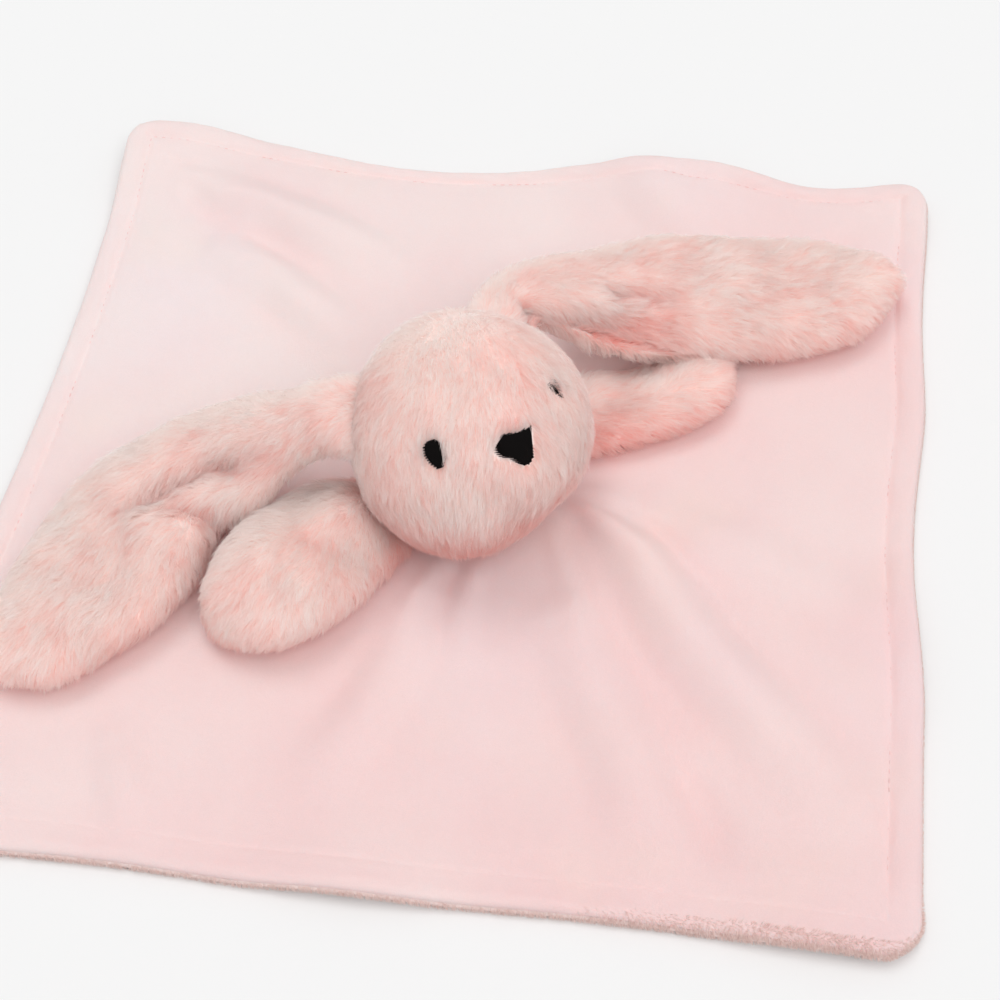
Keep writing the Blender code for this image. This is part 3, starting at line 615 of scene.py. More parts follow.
def grow(name, skin, flow, length, material, seed, *, lean, clump, long, dense, tone, width=0.21,
         trim=None, rest=True):
    """Fibres as narrow ribbons that stand on a skin (points, triangles, normals). They lean along
    the flow given at each point, gather in tufts, and lie down on the cloth where they meet it."""
    chance = np.random.default_rng(seed)
    points, triangles, normals = skin
    a, b, c = [points[triangles[:, k]] for k in range(3)]
    area = np.linalg.norm(np.cross(b - a, c - a), axis=1) / 2
    weight = area * dense[triangles].mean(axis=1)
    bound = np.cumsum(weight) / weight.sum()

    def scatter(number):
        pick = np.searchsorted(bound, chance.random(number))
        u, v = chance.random(number), chance.random(number)
        flip = u + v > 1
        u[flip], v[flip] = 1 - u[flip], 1 - v[flip]
        shares = np.stack([1 - u - v, u, v], axis=1)[:, :, None]
        corners = triangles[pick]
        mix = [(values[corners] * shares).sum(axis=1) for values in (points, normals, flow)]
        return mix[0], unit(mix[1]), mix[2], (long[corners] * shares[:, :, 0]).sum(axis=1)

    def shape(root, normal, way, size, wild):
        side = np.cross(normal, unit(way))
        sway = sum(much * wave(root, broad, seed + 1 + k) for k, (much, broad) in enumerate(SWAYS))
        sway = sway + chance.normal(0, wild, len(root))
        way = bent(unit(way - normal * dot(way, normal)[:, None]), side, sway)
        tilt = lean + TILTS[0] * wave(root, TILTS[1], seed + 3) + chance.normal(0, wild * 0.6, len(root))
        step = size[:, None] * 0.5
        middle = bent(normal, way, tilt + LOWER_BEND) * step
        return middle, middle + bent(normal, way, tilt + UPPER_BEND) * step

    tufts = max(int(area.sum() / MM**2 / clump**2), 12)
    tuft_root, tuft_normal, tuft_flow, tuft_long = scatter(tufts)
    tuft_size = length * MM * tuft_long * chance.uniform(*TUFT_SIZES, tufts)
    tuft_middle, tuft_tip = shape(tuft_root, tuft_normal, tuft_flow, tuft_size, TUFT_WILD)
    tree = KDTree(tufts)
    for index, place in enumerate(tuft_root):
        tree.insert(place, index)
    tree.balance()
    count = int(weight.sum() / MM**2 * FIBRES_PER_MM2)
    root, normal, way, scale = scatter(count)
    near = np.fromiter((tree.find(place)[1] for place in root), int, count)
    size = length * MM * scale * chance.uniform(*FIBRE_SIZES, count)
    middle, tip = shape(root, normal, way, size, FIBRE_WILD)
    apart = root - tuft_root[near]
    hold = chance.uniform(*HOLDS, count)[:, None]
    tip = tip * (1 - hold) + (tuft_tip[near] - apart * GATHER) * hold
    middle = middle * (1 - hold * 0.5) + (tuft_middle[near] - apart * 0.25) * hold * 0.5
    keep = np.ones(count, bool)
    if trim:
        share = trim(root, root + tip, chance)
        keep = share > 0.2
        middle, tip = middle * share[:, None], tip * share[:, None]
    root, middle, tip, normal, near = [part[keep] for part in (root, middle, tip, normal, near)]
    count = len(root)
    twist = chance.normal(0, 0.30, count)
    wide = bent(unit(np.cross(tip, normal)), normal, twist)
    wide = wide * (width * MM / 2 * chance.uniform(*FIBRE_WIDTHS, count))[:, None]
    base = root - normal * 0.25 * MM
    places = [base - wide, base + wide, root + middle - wide * 0.8, root + middle + wide * 0.8, root + tip]
    places = np.stack(places, axis=1).reshape(-1, 3)
    places[:, 2] = np.maximum(places[:, 2], 0.1 * MM)
    if rest:
        floor = cloth_top(places)
        low = places[:, 2] < floor
        places[low, 2] = floor[low] + (places[low, 2] - floor[low]) * FLATTENED
    each = np.arange(count)[:, None]
    loops = (each * 5 + np.array([0, 1, 3, 2, 2, 3, 4])).ravel()
    piece = make_mesh(name, places, loops, (each * 7 + np.array([0, 4])).ravel(), material)
    # Random tones of tufts and fibres, plus each piece's tone, which adds painted shade and highlight
    shade = TONE + TUFT_TONES * chance.normal(size=tufts)[near] + FIBRE_TONES * chance.normal(size=count)
    shade = np.clip(shade + tone(root, normal), *TONE_ENDS)
    across = np.array([0.0, 0.02, 0.02, 0.0, 0.0, 0.02, 0.01])
    along = np.array([0.0, 0.0, 0.5, 0.5, 0.5, 0.5, 1.0])
    uv = np.stack([shade[:, None] + across, np.broadcast_to(along, (count, 7))], axis=-1)
    piece.data.uv_layers.new(name="OFBake").data.foreach_set("uv", uv.astype(np.float32).ravel())
    return piece


def downhill(normals):
    """The way down along a surface, longest where it is steepest."""
    return -UP + normals * normals[:, 2:3]


# The head

FACE_SCALE = 40.5  # millimetres on the face for each unit of direction
HEAD_PILE_INSET = 0.7 * MM
# Where the head is fuller: degrees aside and up on the face, and millimetres
FULLNESS = (0, -12, 2.2), (62, -10, 1.2), (-62, -10, 1.2), (0, 90, 1.0)
HEAD_ROWS, HEAD_COLUMNS = 56, 96
JOWL, SLACK = unit(np.array([-0.25, -0.76, -0.60])), unit(np.array([0.72, -0.60, -0.35]))


def cap(directions, way, degrees):
    """A bump on a ball around a way, over an angle."""
    return bump(np.arccos(np.clip(directions @ way, -1, 1)), np.radians(degrees))


def head_radius(directions):
    """A ball with a fuller muzzle, cheeks and crown."""
    radius = np.full(len(directions), HEAD_RADIUS)
    for aside, up, size in FULLNESS:
        ahead = FACE_OUT * np.cos(np.radians(up)) + FACE_CROWN * np.sin(np.radians(up))
        way = ahead * np.cos(np.radians(aside)) + FACE_SIDE * np.sin(np.radians(aside))
        radius += size * MM * cap(directions, way, 52)
    return radius


def face_place(points):
    """Places in millimetres across the face and up it, and how far each looks out of it."""
    ways = unit(points - HEAD_CENTRE)
    return np.stack([ways @ FACE_SIDE, ways @ FACE_CROWN], axis=1) * FACE_SCALE, ways @ FACE_OUT


def face_point(place, height):
    """The point of the head's surface at a place on the face, at a height above it."""
    place = np.asarray(place, float) / FACE_SCALE
    out = np.sqrt(np.maximum(1 - (place**2).sum(axis=1), 0))
    ways = place[:, :1] * FACE_SIDE + place[:, 1:] * FACE_CROWN + out[:, None] * FACE_OUT
    return HEAD_CENTRE + ways * (head_radius(ways) + height)[:, None], ways


down = np.linspace(0.02, np.pi - 0.02, HEAD_ROWS)[:, None, None]
around = np.linspace(0, 2 * np.pi, HEAD_COLUMNS, endpoint=False)[:, None]
level = FACE_OUT * np.cos(around) + FACE_SIDE * np.sin(around)
ways = (level[None] * np.sin(down) + FACE_CROWN * np.cos(down)).reshape(-1, 3)
jowl = 2.6 * MM * cap(ways, JOWL, 70) - 2.4 * MM * cap(ways, SLACK, 45)
head_reach = head_radius(ways) + jowl - HEAD_PILE_INSET + 0.5 * MM * wave(ways, 0.5, 21)
head_points = HEAD_CENTRE + ways * head_reach[:, None]
head_skin_piece, head_faces = outward_piece(
    "head_skin", head_points, [grid_faces(HEAD_ROWS, HEAD_COLUMNS, True)], ways, SKIN,
)
head_skin = as_skin(head_skin_piece, head_points, head_faces)

# Outlines on the face in millimetres, and the pressed bridge above the nose
NOSE = np.array([
    (7.8, 2.0), (4.4, 2.3), (1.6, 2.5), (-0.7, 3.4), (-3.9, 4.3), (-6.6, 3.4), (-8.3, 1.9), (-8.5, -0.4),
    (-7.3, -2.5), (-4.9, -3.7), (-3.7, -5.7), (-2.0, -7.7), (0.4, -8.4), (2.8, -7.1), (4.9, -3.0),
])
EYE_LEFT = np.array([
    (-24.5, 11.7), (-26.6, 10.0), (-27.3, 7.7), (-26.8, 4.5), (-25.4, 2.4), (-23.9, 2.3), (-22.7, 3.9),
    (-21.8, 7.2), (-21.0, 10.0), (-22.6, 11.4),
])
BRIDGE = np.array([1.5, 6.5])
EYE_RIGHT = EYE_LEFT * np.array([-1.0, 1.0])
SLIVER = np.array([(20.2, 10.4), (21.5, 8.4), (22.2, 5.7), (22.2, 4.3), (21.4, 5.7), (20.4, 7.9)])


def edges(outline):
    return [(*start, *end) for start, end in zip(outline, np.roll(outline, -1, axis=0))]


def inside(places, outline):
    """Which places lie within a closed outline."""
    result = np.zeros(len(places), bool)
    for x0, y0, x1, y1 in edges(outline):
        crosses = (y0 > places[:, 1]) != (y1 > places[:, 1])
        slope = (x1 - x0) / (y1 - y0) if y1 != y0 else 0.0
        result ^= crosses & (places[:, 0] < x0 + slope * (places[:, 1] - y0))
    return result


def grown(outline, by):
    middle = outline.mean(axis=0)
    return outline + unit(outline - middle) * by


def embroider(name, outline, rise):
    """Satin stitch: threads side by side across a padded outline."""
    pitch, thread, count, sunk = 0.42, 0.29 * MM, 9, -2.2
    pad_rings, pad_heights = (0.0, 0.25, 0.6, 0.9), (-3.2, 0.1, 0.6, 0.85)
    low, high = outline[:, 1].min(), outline[:, 1].max()
    middle = outline.mean(axis=0)
    ends = np.array([sunk, *[0] * (count - 2), sunk])
    paths = []
    for y in np.arange(low + 0.15, high, pitch):
        cuts = [
            x0 + (x1 - x0) * (y - y0) / (y1 - y0)
            for x0, y0, x1, y1 in edges(outline) if (y0 > y) != (y1 > y)
        ]
        if len(cuts) < 2 or max(cuts) - min(cuts) < 0.4:
            continue
        ragged = 0.35 * np.sin(y * 7.3 + np.array([0.0, 2.1]))
        x = np.linspace(min(cuts) + ragged[0], max(cuts) + ragged[1], count)
        aside = ((x - middle[0]) / np.ptp(outline[:, 0]) * 2) ** 2
        above = ((y - middle[1]) / (high - low) * 2) ** 2
        dome = 1 - np.minimum(aside * 0.6 + above * 0.4, 1)
        places = np.stack([x, np.full(count, y)], axis=1)
        paths.append(face_point(places, (rise + 0.9 * np.sqrt(dome) + ends) * MM)[0])
    threads = thread_runs(name, paths, thread, BLACK_THREAD, 6)
    ring = np.concatenate([outline * (1 - share) + middle * share for share in pad_rings])
    heights = np.repeat(pad_heights, len(outline))
    pad, _ = face_point(ring, (rise + heights - 0.15) * MM)
    faces = grid_faces(len(pad_rings), len(outline), True)
    lid = np.arange(len(outline)) + (len(pad_rings) - 1) * len(outline)
    under = make_piece(name + "_pad", pad, [faces, [lid]], BLACK_THREAD)
    under.parent = threads
    return threads


eye_left = embroider("eye_left_stitches", EYE_LEFT, 0.2)
eye_right = embroider("eye_right_stitches", EYE_RIGHT, -1.3)
eye_edge = embroider("eye_right_edge", SLIVER, 0.4)
eye_edge.parent = eye_right
nose = embroider("nose_stitches", NOSE, 0.4)


def face_trim(root, tip, chance):
    """How much of each fibre is left: none under the left eye and the nose, cut back over them, and
    a slit open at the right eye, which the cheek's pile covers."""
    share = np.ones(len(root))
    start, out = face_place(root)
    strays = chance.random(len(root))
    for bare, margin in ((NOSE, 0.05), (EYE_LEFT, 0.1), (SLIVER, 0.3)):
        share[(out > 0) & inside(start, grown(bare, margin))] = 0.0
        for cut, left in ((1.0, 0.8), (0.8, 0.6), (0.6, 0.45), (0.45, 0.3), (0.3, 0.0)):
            end, _ = face_place(root + (tip - root) * cut)
            over = (out > 0) & inside(end, grown(bare, margin - 0.7)) & (share >= cut)
            share[over] = left
    return np.where((strays < 0.03) & (share > 0), 1.0, share)


nose_point = face_point(np.array([[0.0, -1.0]]), 0.0)[0]
head_flow = np.array([0.17, -0.90, -0.30]) + downhill(head_skin[2]) * 0.8
head_flow = head_flow + unit(head_points - nose_point) * mound(head_points, nose_point, 24 * MM)[:, None]
chin = smooth(-(head_skin[2] @ FACE_CROWN), -0.3, 0.5) * smooth(head_skin[2] @ FACE_OUT, -0.2, 0.5)


def face_tone_and_shade(root, normal):
    """Deeper low on the face, which is painted shade, and just above the nose; paler on what looks up
    and back, which is a painted highlight.
    """
    place, _ = face_place(root)
    # Painted shade on the lower face
    low = 0.72 * smooth(-(unit(root - HEAD_CENTRE) @ unit(FACE_CROWN * 0.4 + UP)), -0.12, 0.70)
    # Painted highlight on what faces up and back
    low = low - 0.2 * smooth(normal @ unit(UP - AHEAD * 0.6), 0.75, 1.0)
    return 0.06 * wave(root, 14 * MM, 33) + low + 0.3 * mound(place, BRIDGE, 5.5)


face_cover = smooth(head_skin[2] @ unit(FACE_OUT + UP * 0.4), -0.08, 0.08)
back_cover = (1 - face_cover) * np.where(head_skin[2][:, 2] < -0.75, 0.3, 1.0)
head_furs = [
    grow(
        "head_fur_" + part, head_skin, head_flow, 7.4, PLUSH, seed, lean=1.12, clump=2.1,
        long=1 + 0.25 * chin, dense=cover, tone=face_tone_and_shade, trim=face_trim,
    )
    for part, cover, seed in (("face", face_cover, 31), ("back", back_cover, 36))
]


# Ears and arms

EAR_REACH, EAR_THICKNESS, EAR_ROOT_HEIGHT = 180 * MM, 25 * MM, 50 * MM
LYING = 5.8 * MM
# Stations of an ear: its rear edge, across and ahead, and its front edge in reaches, then shares of
# the thickness, of the root's tilt and of the root's height
LEFT_EAR = (
    (0.195, -0.138, 0.270, -0.012, 0.66, 0.24, 0.76),
    (0.250, -0.200, 0.318, -0.055, 0.76, 0.17, 0.60),
    (0.300, -0.270, 0.372, -0.088, 0.86, 0.18, 0.41),
    (0.378, -0.344, 0.425, -0.100, 0.94, 0.14, 0.21),
    (0.489, -0.394, 0.489, -0.112, 1.00, 0.09, 0.07),
    (0.622, -0.403, 0.578, -0.050, 1.00, 0.05, 0.015),
    (0.755, -0.350, 0.700, -0.008, 1.00, 0.03, 0.006),
    (0.850, -0.292, 0.811, -0.006, 0.96, 0.01, 0.006),
    (0.928, -0.244, 0.906, -0.017, 0.84, 0.0, 0.006),
    (0.978, -0.200, 0.964, -0.070, 0.62, 0.0, 0.006),
    (1.000, -0.160, 0.996, -0.125, 0.30, 0.0, 0.02),
)
RIGHT_EAR = (
    (0.170, -0.128, 0.255, -0.018, 0.60, 0.28, 0.78),
    (0.244, -0.161, 0.320, 0.018, 0.72, 0.30, 0.63),
    (0.322, -0.172, 0.368, 0.072, 0.86, 0.32, 0.470),
    (0.422, -0.175, 0.428, 0.115, 0.92, 0.26, 0.34),
    (0.528, -0.169, 0.488, 0.145, 0.96, 0.20, 0.22),
    (0.644, -0.150, 0.552, 0.172, 1.00, 0.16, 0.12),
    (0.755, -0.094, 0.622, 0.205, 1.00, 0.12, 0.04),
    (0.867, -0.017, 0.717, 0.258, 0.96, 0.06, 0.006),
    (0.955, 0.061, 0.828, 0.292, 0.90, 0.02, 0.006),
    (1.005, 0.133, 0.928, 0.275, 0.78, 0.0, 0.006),
    (1.017, 0.194, 0.983, 0.247, 0.52, 0.0, 0.006),
    (1.011, 0.217, 1.003, 0.236, 0.26, 0.0, 0.02),
)
ARM_REACH, ARM_THICKNESS = 108.5 * MM, 32 * MM
# Stations of an arm: across, rear edge and front edge in reaches, and share of the thickness
LEFT_ARM = (
    (0.210, -0.020, 0.150, 0.12), (0.240, -0.060, 0.175, 0.18), (0.320, -0.125, 0.205, 0.30),
    (0.400, -0.160, 0.249, 0.46), (0.516, -0.182, 0.295, 0.66), (0.645, -0.162, 0.332, 0.86),
    (0.774, -0.140, 0.345, 0.98), (0.885, -0.080, 0.318, 0.92), (0.955, -0.010, 0.249, 0.62),
    (0.990, 0.070, 0.150, 0.24),
)
RIGHT_ARM = (
    (0.210, 0.020, 0.165, 0.12), (0.240, 0.015, 0.200, 0.16), (0.320, 0.010, 0.262, 0.28),
    (0.410, 0.010, 0.315, 0.40), (0.516, 0.015, 0.366, 0.50), (0.645, 0.055, 0.408, 0.56),
    (0.756, 0.092, 0.428, 0.58), (0.848, 0.142, 0.418, 0.56), (0.910, 0.190, 0.375, 0.44),
    (0.940, 0.225, 0.325, 0.22),
)


def toy(across, ahead, up):
    return ACROSS * across + AHEAD * ahead + UP * up


def plan_of(points):
    """Millimetres across and ahead."""
    return np.stack([points @ ACROSS, points @ AHEAD], axis=1) / MM


def ear_root(side):
    """Where an ear leaves the head, the way out there, and the way along its seam."""
    ear_side, ear_rise, slant = np.radians(55), np.radians(16), np.radians(22)
    level = ACROSS * side * np.sin(ear_side) - AHEAD * np.cos(ear_side)
    out = level * np.cos(ear_rise) + UP * np.sin(ear_rise)
    flat = unit(np.cross(UP, out)) * side
    rise = unit(UP - out * out[2])
    seam = rise * np.sin(slant) + flat * np.cos(slant)
    return HEAD_CENTRE + out * (head_radius(out[None])[0] + 0.4 * MM), out, seam


def ear_rows(side, shares):
    """An ear's rear edge, front edge and thickness, from inside the head to its tip."""
    root, out, seam = ear_root(side)
    half = seam * 16 * MM
    rows = [(*(start + half), *(start - half), thick) for start, thick in (
        (root - out * 5 * MM, 13 * MM), (root, 14 * MM),
    )]
    for rear_out, rear_ahead, front_out, front_ahead, thick, tilt, lift in shares:
        thickness = EAR_THICKNESS * thick
        rise = EAR_ROOT_HEIGHT * tilt / 2
        middle = LYING + EAR_ROOT_HEIGHT * lift + np.hypot(rise, thickness / 2)
        rear = toy(side * rear_out * EAR_REACH, rear_ahead * EAR_REACH, middle + rise)
        front_edge = toy(side * front_out * EAR_REACH, front_ahead * EAR_REACH, middle - rise)
        rows.append((*rear, *front_edge, thickness))
    return rows


def arm_rows(side, shares):
    rows = []
    for out, rear, front_edge, thick in shares:
        thickness = ARM_THICKNESS * thick
        height = LYING + (thickness + 0.3 * MM) / 2
        ends = [toy(side * out * ARM_REACH, ahead * ARM_REACH, height) for ahead in (rear, front_edge)]
        rows.append((*ends[0], *ends[1], thickness))
    return rows


def limb(name, rows, inset, sink, sculpt, widen, rings, sides):
    """A closed skin through a limb's stations, with the way along it and the share of its length at
    each point. Its sculpt lifts the top, and widen moves the front edge, both by millimetres."""
    rows = catmull(rows, 400)
    middles = (rows[:, :3] + rows[:, 3:6]) / 2
    walked = np.concatenate([[0], np.cumsum(np.linalg.norm(np.diff(middles, axis=0), axis=1))])
    even = np.linspace(0, walked[-1] - 2.5 * MM, rings)
    rows = np.stack([np.interp(even, walked, column) for column in rows.T], axis=1)
    middles = (rows[:, :3] + rows[:, 3:6]) / 2
    halves = (rows[:, 3:6] - rows[:, :3]) / 2
    along = unit(np.gradient(middles, axis=0))
    over = np.cross(halves, along)
    over = unit(over * np.where(over[:, 2:] < 0, -1, 1))
    wide = np.linalg.norm(halves, axis=1)
    halves = unit(halves) * np.maximum(wide - inset, wide * 0.30)[:, None]
    thick = np.maximum(rows[:, 6] / 2 - sink, rows[:, 6] / 2 * 0.35)
    turn = np.arange(sides) * 2 * np.pi / sides
    points = middles[:, None] - halves[:, None] * np.cos(turn)[None, :, None]
    rise = thick[:, None] * np.sin(turn)[None]
    points = points + over[:, None] * rise[:, :, None]
    is_top = np.tile(np.sin(turn), rings)
    ups = np.repeat(over, sides, axis=0)
    points = points.reshape(-1, 3)
    plan = plan_of(points)
    if widen:
        front_side = smooth(-np.tile(np.cos(turn), rings), -0.2, 0.9)
        edge_ways = np.repeat(unit(halves), sides, axis=0)
        points = points + edge_ways * (widen(plan) * front_side * MM)[:, None]
    room = np.maximum(rise, 0).reshape(-1)
    lift = np.maximum(sculpt(plan) * smooth(is_top, 0.0, 0.35) * MM, -1.3 * room)
    points = points + ups * lift[:, None]
    uneven = 0.5 * MM * wave(points, 13 * MM, len(name)) * smooth(np.abs(is_top), 0.0, 0.4)
    points = points + ups * uneven[:, None]
    first, last = len(points), len(points) + 1
    from_middle = points - np.repeat(middles, sides, axis=0)
    points = np.concatenate([points, [points[:sides].mean(axis=0)], [points[-sides:].mean(axis=0)]])
    ring = np.arange(sides)
    ahead, end = np.roll(ring, -1), (rings - 1) * sides
    caps = np.concatenate([
        np.stack([np.full(sides, first), ahead, ring], axis=1),
        np.stack([np.full(sides, last), ring + end, ahead + end], axis=1),
    ])
    piece, faces = outward_piece(name, points, [grid_faces(rings, sides, True), caps], from_middle, SKIN)
    ways = np.concatenate([np.repeat(along, sides, axis=0), along[:1], along[-1:]])
    share = np.concatenate([np.repeat(even / walked[-1], sides), [0, 1]])
    return piece, as_skin(piece, points, faces), ways, share


def left_ear_shape(plan):
    """The fold by the head: a valley behind, a flap that drops from it, and the ear's lobe in front."""
    line = (-120, -40), (-109, -42), (-99, -42), (-90, -40), (-80, -36), (-71, -28), (-62, -19)
    away, share, _ = line_reach(plan, line)
    valley = 7.0 * bump(away, 6.5) * smooth(share, 0.0, 0.35) * (1 - 0.7 * smooth(share, 0.6, 1.0))
    away, share, _ = line_reach(plan, [(-108, -39), (-96, -32), (-89, -23), (-82, -15), (-73, -11)])
    seam = 4.2 * bump(away, 6.0) * smooth(share, 0.0, 0.3)
    return 2.4 * mound(plan, (-104, -14), 22.0) - valley - seam


def left_ear_flap(plan):
    """The front edge's flap next to the head."""
    return 4.5 * mound(plan, (-74, -18), 20.0)


def right_ear_shape(plan):
    """The fold by the head: a pit, and in front of it a step down to the ear's second layer."""
    away, share, _ = line_reach(plan, [(76, -3), (82, -1), (89, 3), (97, 8), (106, 14)])
    pit = 6.0 * bump(away, 6.5) * (1 - smooth(share, 0.3, 1.0))
    line = (36, -13), (46, -8), (56, -4), (66, -1), (76, 2.5), (86, 6), (98, 12), (110, 20)
    away, share, side = line_reach(plan, line)
    drop = 8.5 * smooth(side * away, -0.5, 2.6) * (1 - smooth(share, 0.5, 0.95)) * smooth(share, 0.0, 0.1)
    return -np.maximum(pit, drop)


def left_arm_shape(plan):
    """The arm's root, plumper where it comes out from under the head."""
    return 9.0 * mound(plan, (-49, 8), 20.0)


def right_arm_shape(plan):
    """The same root, and the dip that the ear lies in."""
    return 3.5 * mound(plan, (49, 8), 20.0) - 6.0 * mound(plan, (80, 13), 20.0)


def limb_tone_and_shade(seed, sculpt, cloth_shade_depth):
    """Deeper in a limb's folds, by the head and where its side curves in toward the cloth, which is
    painted shade, and paler on its rear, which is a painted highlight."""
    def tone(root, normal):
        # Painted shade next to the cloth
        low = cloth_shade_depth * (1 - smooth(root[:, 2] - cloth_top(root), 1 * MM, 18 * MM))
        # Painted shade in the sculpted folds
        fold = 0.55 * np.clip(-sculpt(plan_of(root)) / 7, 0, 1) * smooth(normal[:, 2], 0.0, 0.3)
        # Painted highlight on what faces up and back
        pale = 0.28 * smooth(normal @ unit(UP - AHEAD * 0.9), 0.70, 1.0)
        # Painted shade by the head, low down
        away = np.linalg.norm(root - HEAD_CENTRE, axis=1) - HEAD_RADIUS
        near_head = 0.2 * (1 - smooth(away, 2 * MM, 18 * MM)) * (1 - smooth(root[:, 2], 28 * MM, 42 * MM))
        return 0.06 * wave(root, 15 * MM, seed + 5) + np.maximum(low, fold) + near_head - pale
    return tone


RINGS = 64
LIMB_SIDES = 44
# Stations, how far the skin lies inside the edges and the faces, moves of its points, pile length,
# seed and painted shade next to the cloth
LIMBS = {
    "ear_left": (ear_rows(-1, LEFT_EAR), 3.6, 1.9, left_ear_shape, left_ear_flap, 8.2, 41, 0.62),
    "ear_right": (ear_rows(1, RIGHT_EAR), 3.6, 1.9, right_ear_shape, None, 8.0, 51, 0.62),
    "arm_left": (arm_rows(-1, LEFT_ARM), 3.6, 1.9, left_arm_shape, None, 7.8, 61, 0.85),
    "arm_right": (arm_rows(1, RIGHT_ARM), 3.4, 1.8, right_arm_shape, None, 7.6, 71, 0.85),
}
skins, furs, lying = {}, {}, []
for name, (stations, inset, sink, sculpt, widen, length, seed, cloth_shade_depth) in LIMBS.items():
    piece, skin, along, share = limb(
        name + "_skin", stations, inset * MM, sink * MM, sculpt, widen, RINGS, LIMB_SIDES,
    )
    flow = along * 0.95 + downhill(skin[2]) * 1.05
    fade = 0.75 + 0.25 * smooth(share, 0.0, 0.10)
    under = skin[2][:, 2] < -0.3
    dense = np.where(under, 0.35, 1.0) * np.where(share < 0.015, 0.0, 1.0)
    furs[name] = grow(
        name + "_fur", skin, flow, length, PLUSH, seed, lean=1.14, clump=2.1, long=fade, dense=dense,
        tone=limb_tone_and_shade(seed, sculpt, cloth_shade_depth),
    )
    skins[name] = piece
    lying.append(skin)


# Painted shade on the cloth's pile: deeper in its hollows, and next to where the soft parts lie on it

CREASE_SHADE_BLURS, CREASE_SHADE_PAINT = 60, 0.14
CONTACT_SHADE_REACH, CONTACT_SHADE_PAINT = 13 * MM, 0.4


def painted_crease_shade(points, inset):
    """Painted shade, deeper where the cloth lies lower than what is around it, but not in the hem."""
    shape = points[:, 2].reshape(int(np.sqrt(len(points))), -1)
    near = shape.copy()
    for _ in range(CREASE_SHADE_BLURS):
        near[1:-1, 1:-1] = (near[:-2, 1:-1] + near[2:, 1:-1] + near[1:-1, :-2] + near[1:-1, 2:]) / 4
    deeper = smooth((near - shape).ravel(), 0.1 * MM, 2.4 * MM)
    return deeper * smooth(inset, 11 * MM, 20 * MM) * CREASE_SHADE_PAINT


# Painted contact shade: how near each point of the cloth comes to the head's and the limbs' skins
contact_shade = np.zeros(len(front_points))
for points, triangles, _ in (head_skin, *lying):
    tree = BVHTree.FromPolygons(points.tolist(), triangles.tolist())
    for index, point in enumerate(front_points):
        found = tree.find_nearest(point, CONTACT_SHADE_REACH)
        if found[0] is not None:
            contact_shade[index] = max(contact_shade[index], 1 - found[3] / CONTACT_SHADE_REACH)
# Painted shade: the larger of the crease shade and the contact shade
tint = np.maximum(painted_crease_shade(front_points, front_inset), CONTACT_SHADE_PAINT * smooth(contact_shade, 0.0, 1.0))
painted_shade = front.data.attributes.new("painted_shade", "FLOAT", "POINT").data
painted_shade.foreach_set("value", tint.astype(np.float32))


# The neck: a short gathered stub between the cloth and the head

NECK_SIDES, NECK_FOOT = 72, 5.2 * MM
# Radius and place ahead in millimetres, and share of the way up
NECK_RINGS = (22.5, 0.0, 0.0), (20.5, 0.4, 0.08), (18.4, 1.6, 0.3), (16.6, 3.8, 0.62), (15.6, 6.0, 1.0)
turn = np.linspace(0, 2 * np.pi, NECK_SIDES, endpoint=False)
gather = 1 + 0.045 * np.sin(turn * 17) + 0.02 * np.sin(turn * 5 + 1)
circle = np.stack([np.cos(turn), np.sin(turn), np.zeros(NECK_SIDES)], axis=1)
neck_points = []
for radius, forward, share in NECK_RINGS:
    ring = circle * (radius * gather * MM)[:, None] + AHEAD * forward * MM
    away = np.linalg.norm((ring - HEAD_CENTRE)[:, :2], axis=1)
    top = HEAD_CENTRE[2] - np.sqrt(np.maximum(HEAD_RADIUS**2 - away**2, 0)) + 3.0 * MM
    ring[:, 2] = NECK_FOOT + (top - NECK_FOOT) * share
    neck_points.append(ring)
neck_faces = grid_faces(len(NECK_RINGS), NECK_SIDES, True)
neck = make_piece("neck_gathers", np.concatenate(neck_points), [neck_faces], VELOUR)


# The back cloth's pile where it shows along the edges


def rim_part(faces, ring, last):
    """Triangles between the rings of points from the rim to the last one asked for."""
    triangles = split(faces)
    return triangles[(ring[triangles] <= last).all(axis=1)]


rim_points = np.concatenate([back_points, front_points])
rim_normals = np.concatenate([vertex_normals(back), vertex_normals(front)])
rim_triangles = np.concatenate([
    rim_part(back_faces, back_ring, 6), rim_part(front_faces, front_ring, 5) + len(back_points),
])
near_corner = smooth(-front_points[:, 1] - front_points[:, 0], -9 * MM, 1 * MM)
turned_up = smooth(front_points[:, 0], 0.25 * HALF, 0.75 * HALF) * near_corner
climb = np.array(TOP_HEM)[np.minimum(front_ring, 8), 0]
top_cover = turned_up * smooth(0.3 + 2.6 * turned_up - climb, -0.8, 0.8)
rim_cover = np.concatenate([np.ones(len(back_points)), top_cover])
near_side = smooth(-rim_points[:, 1], 0.86 * HALF, 0.93 * HALF)
rim_skin = (rim_points, rim_triangles, rim_normals)
outward = unit(rim_points * np.array([1.0, 1.0, 0.0]))
slant = np.stack([-outward[:, 1], outward[:, 0], np.zeros(len(outward))], axis=1)


def painted_lanes(root, normal):
    """Lanes of deeper and paler fibres, aslant across the edge: painted light and shade of rows of tufts."""
    return 0.2 * np.sin(2 * np.pi * (root[:, 0] - root[:, 1] + root[:, 2] * 0.6) / (2.7 * MM))


rim_fur = grow(
    "edge_pile", rim_skin, outward * 0.1 - UP + slant * 0.6, 2.0, BACK_PILE, 81, lean=1.05, clump=1.1,
    long=0.4 + 0.6 * near_side, dense=rim_cover, tone=painted_lanes, width=0.20, rest=False,
)


# Bodies

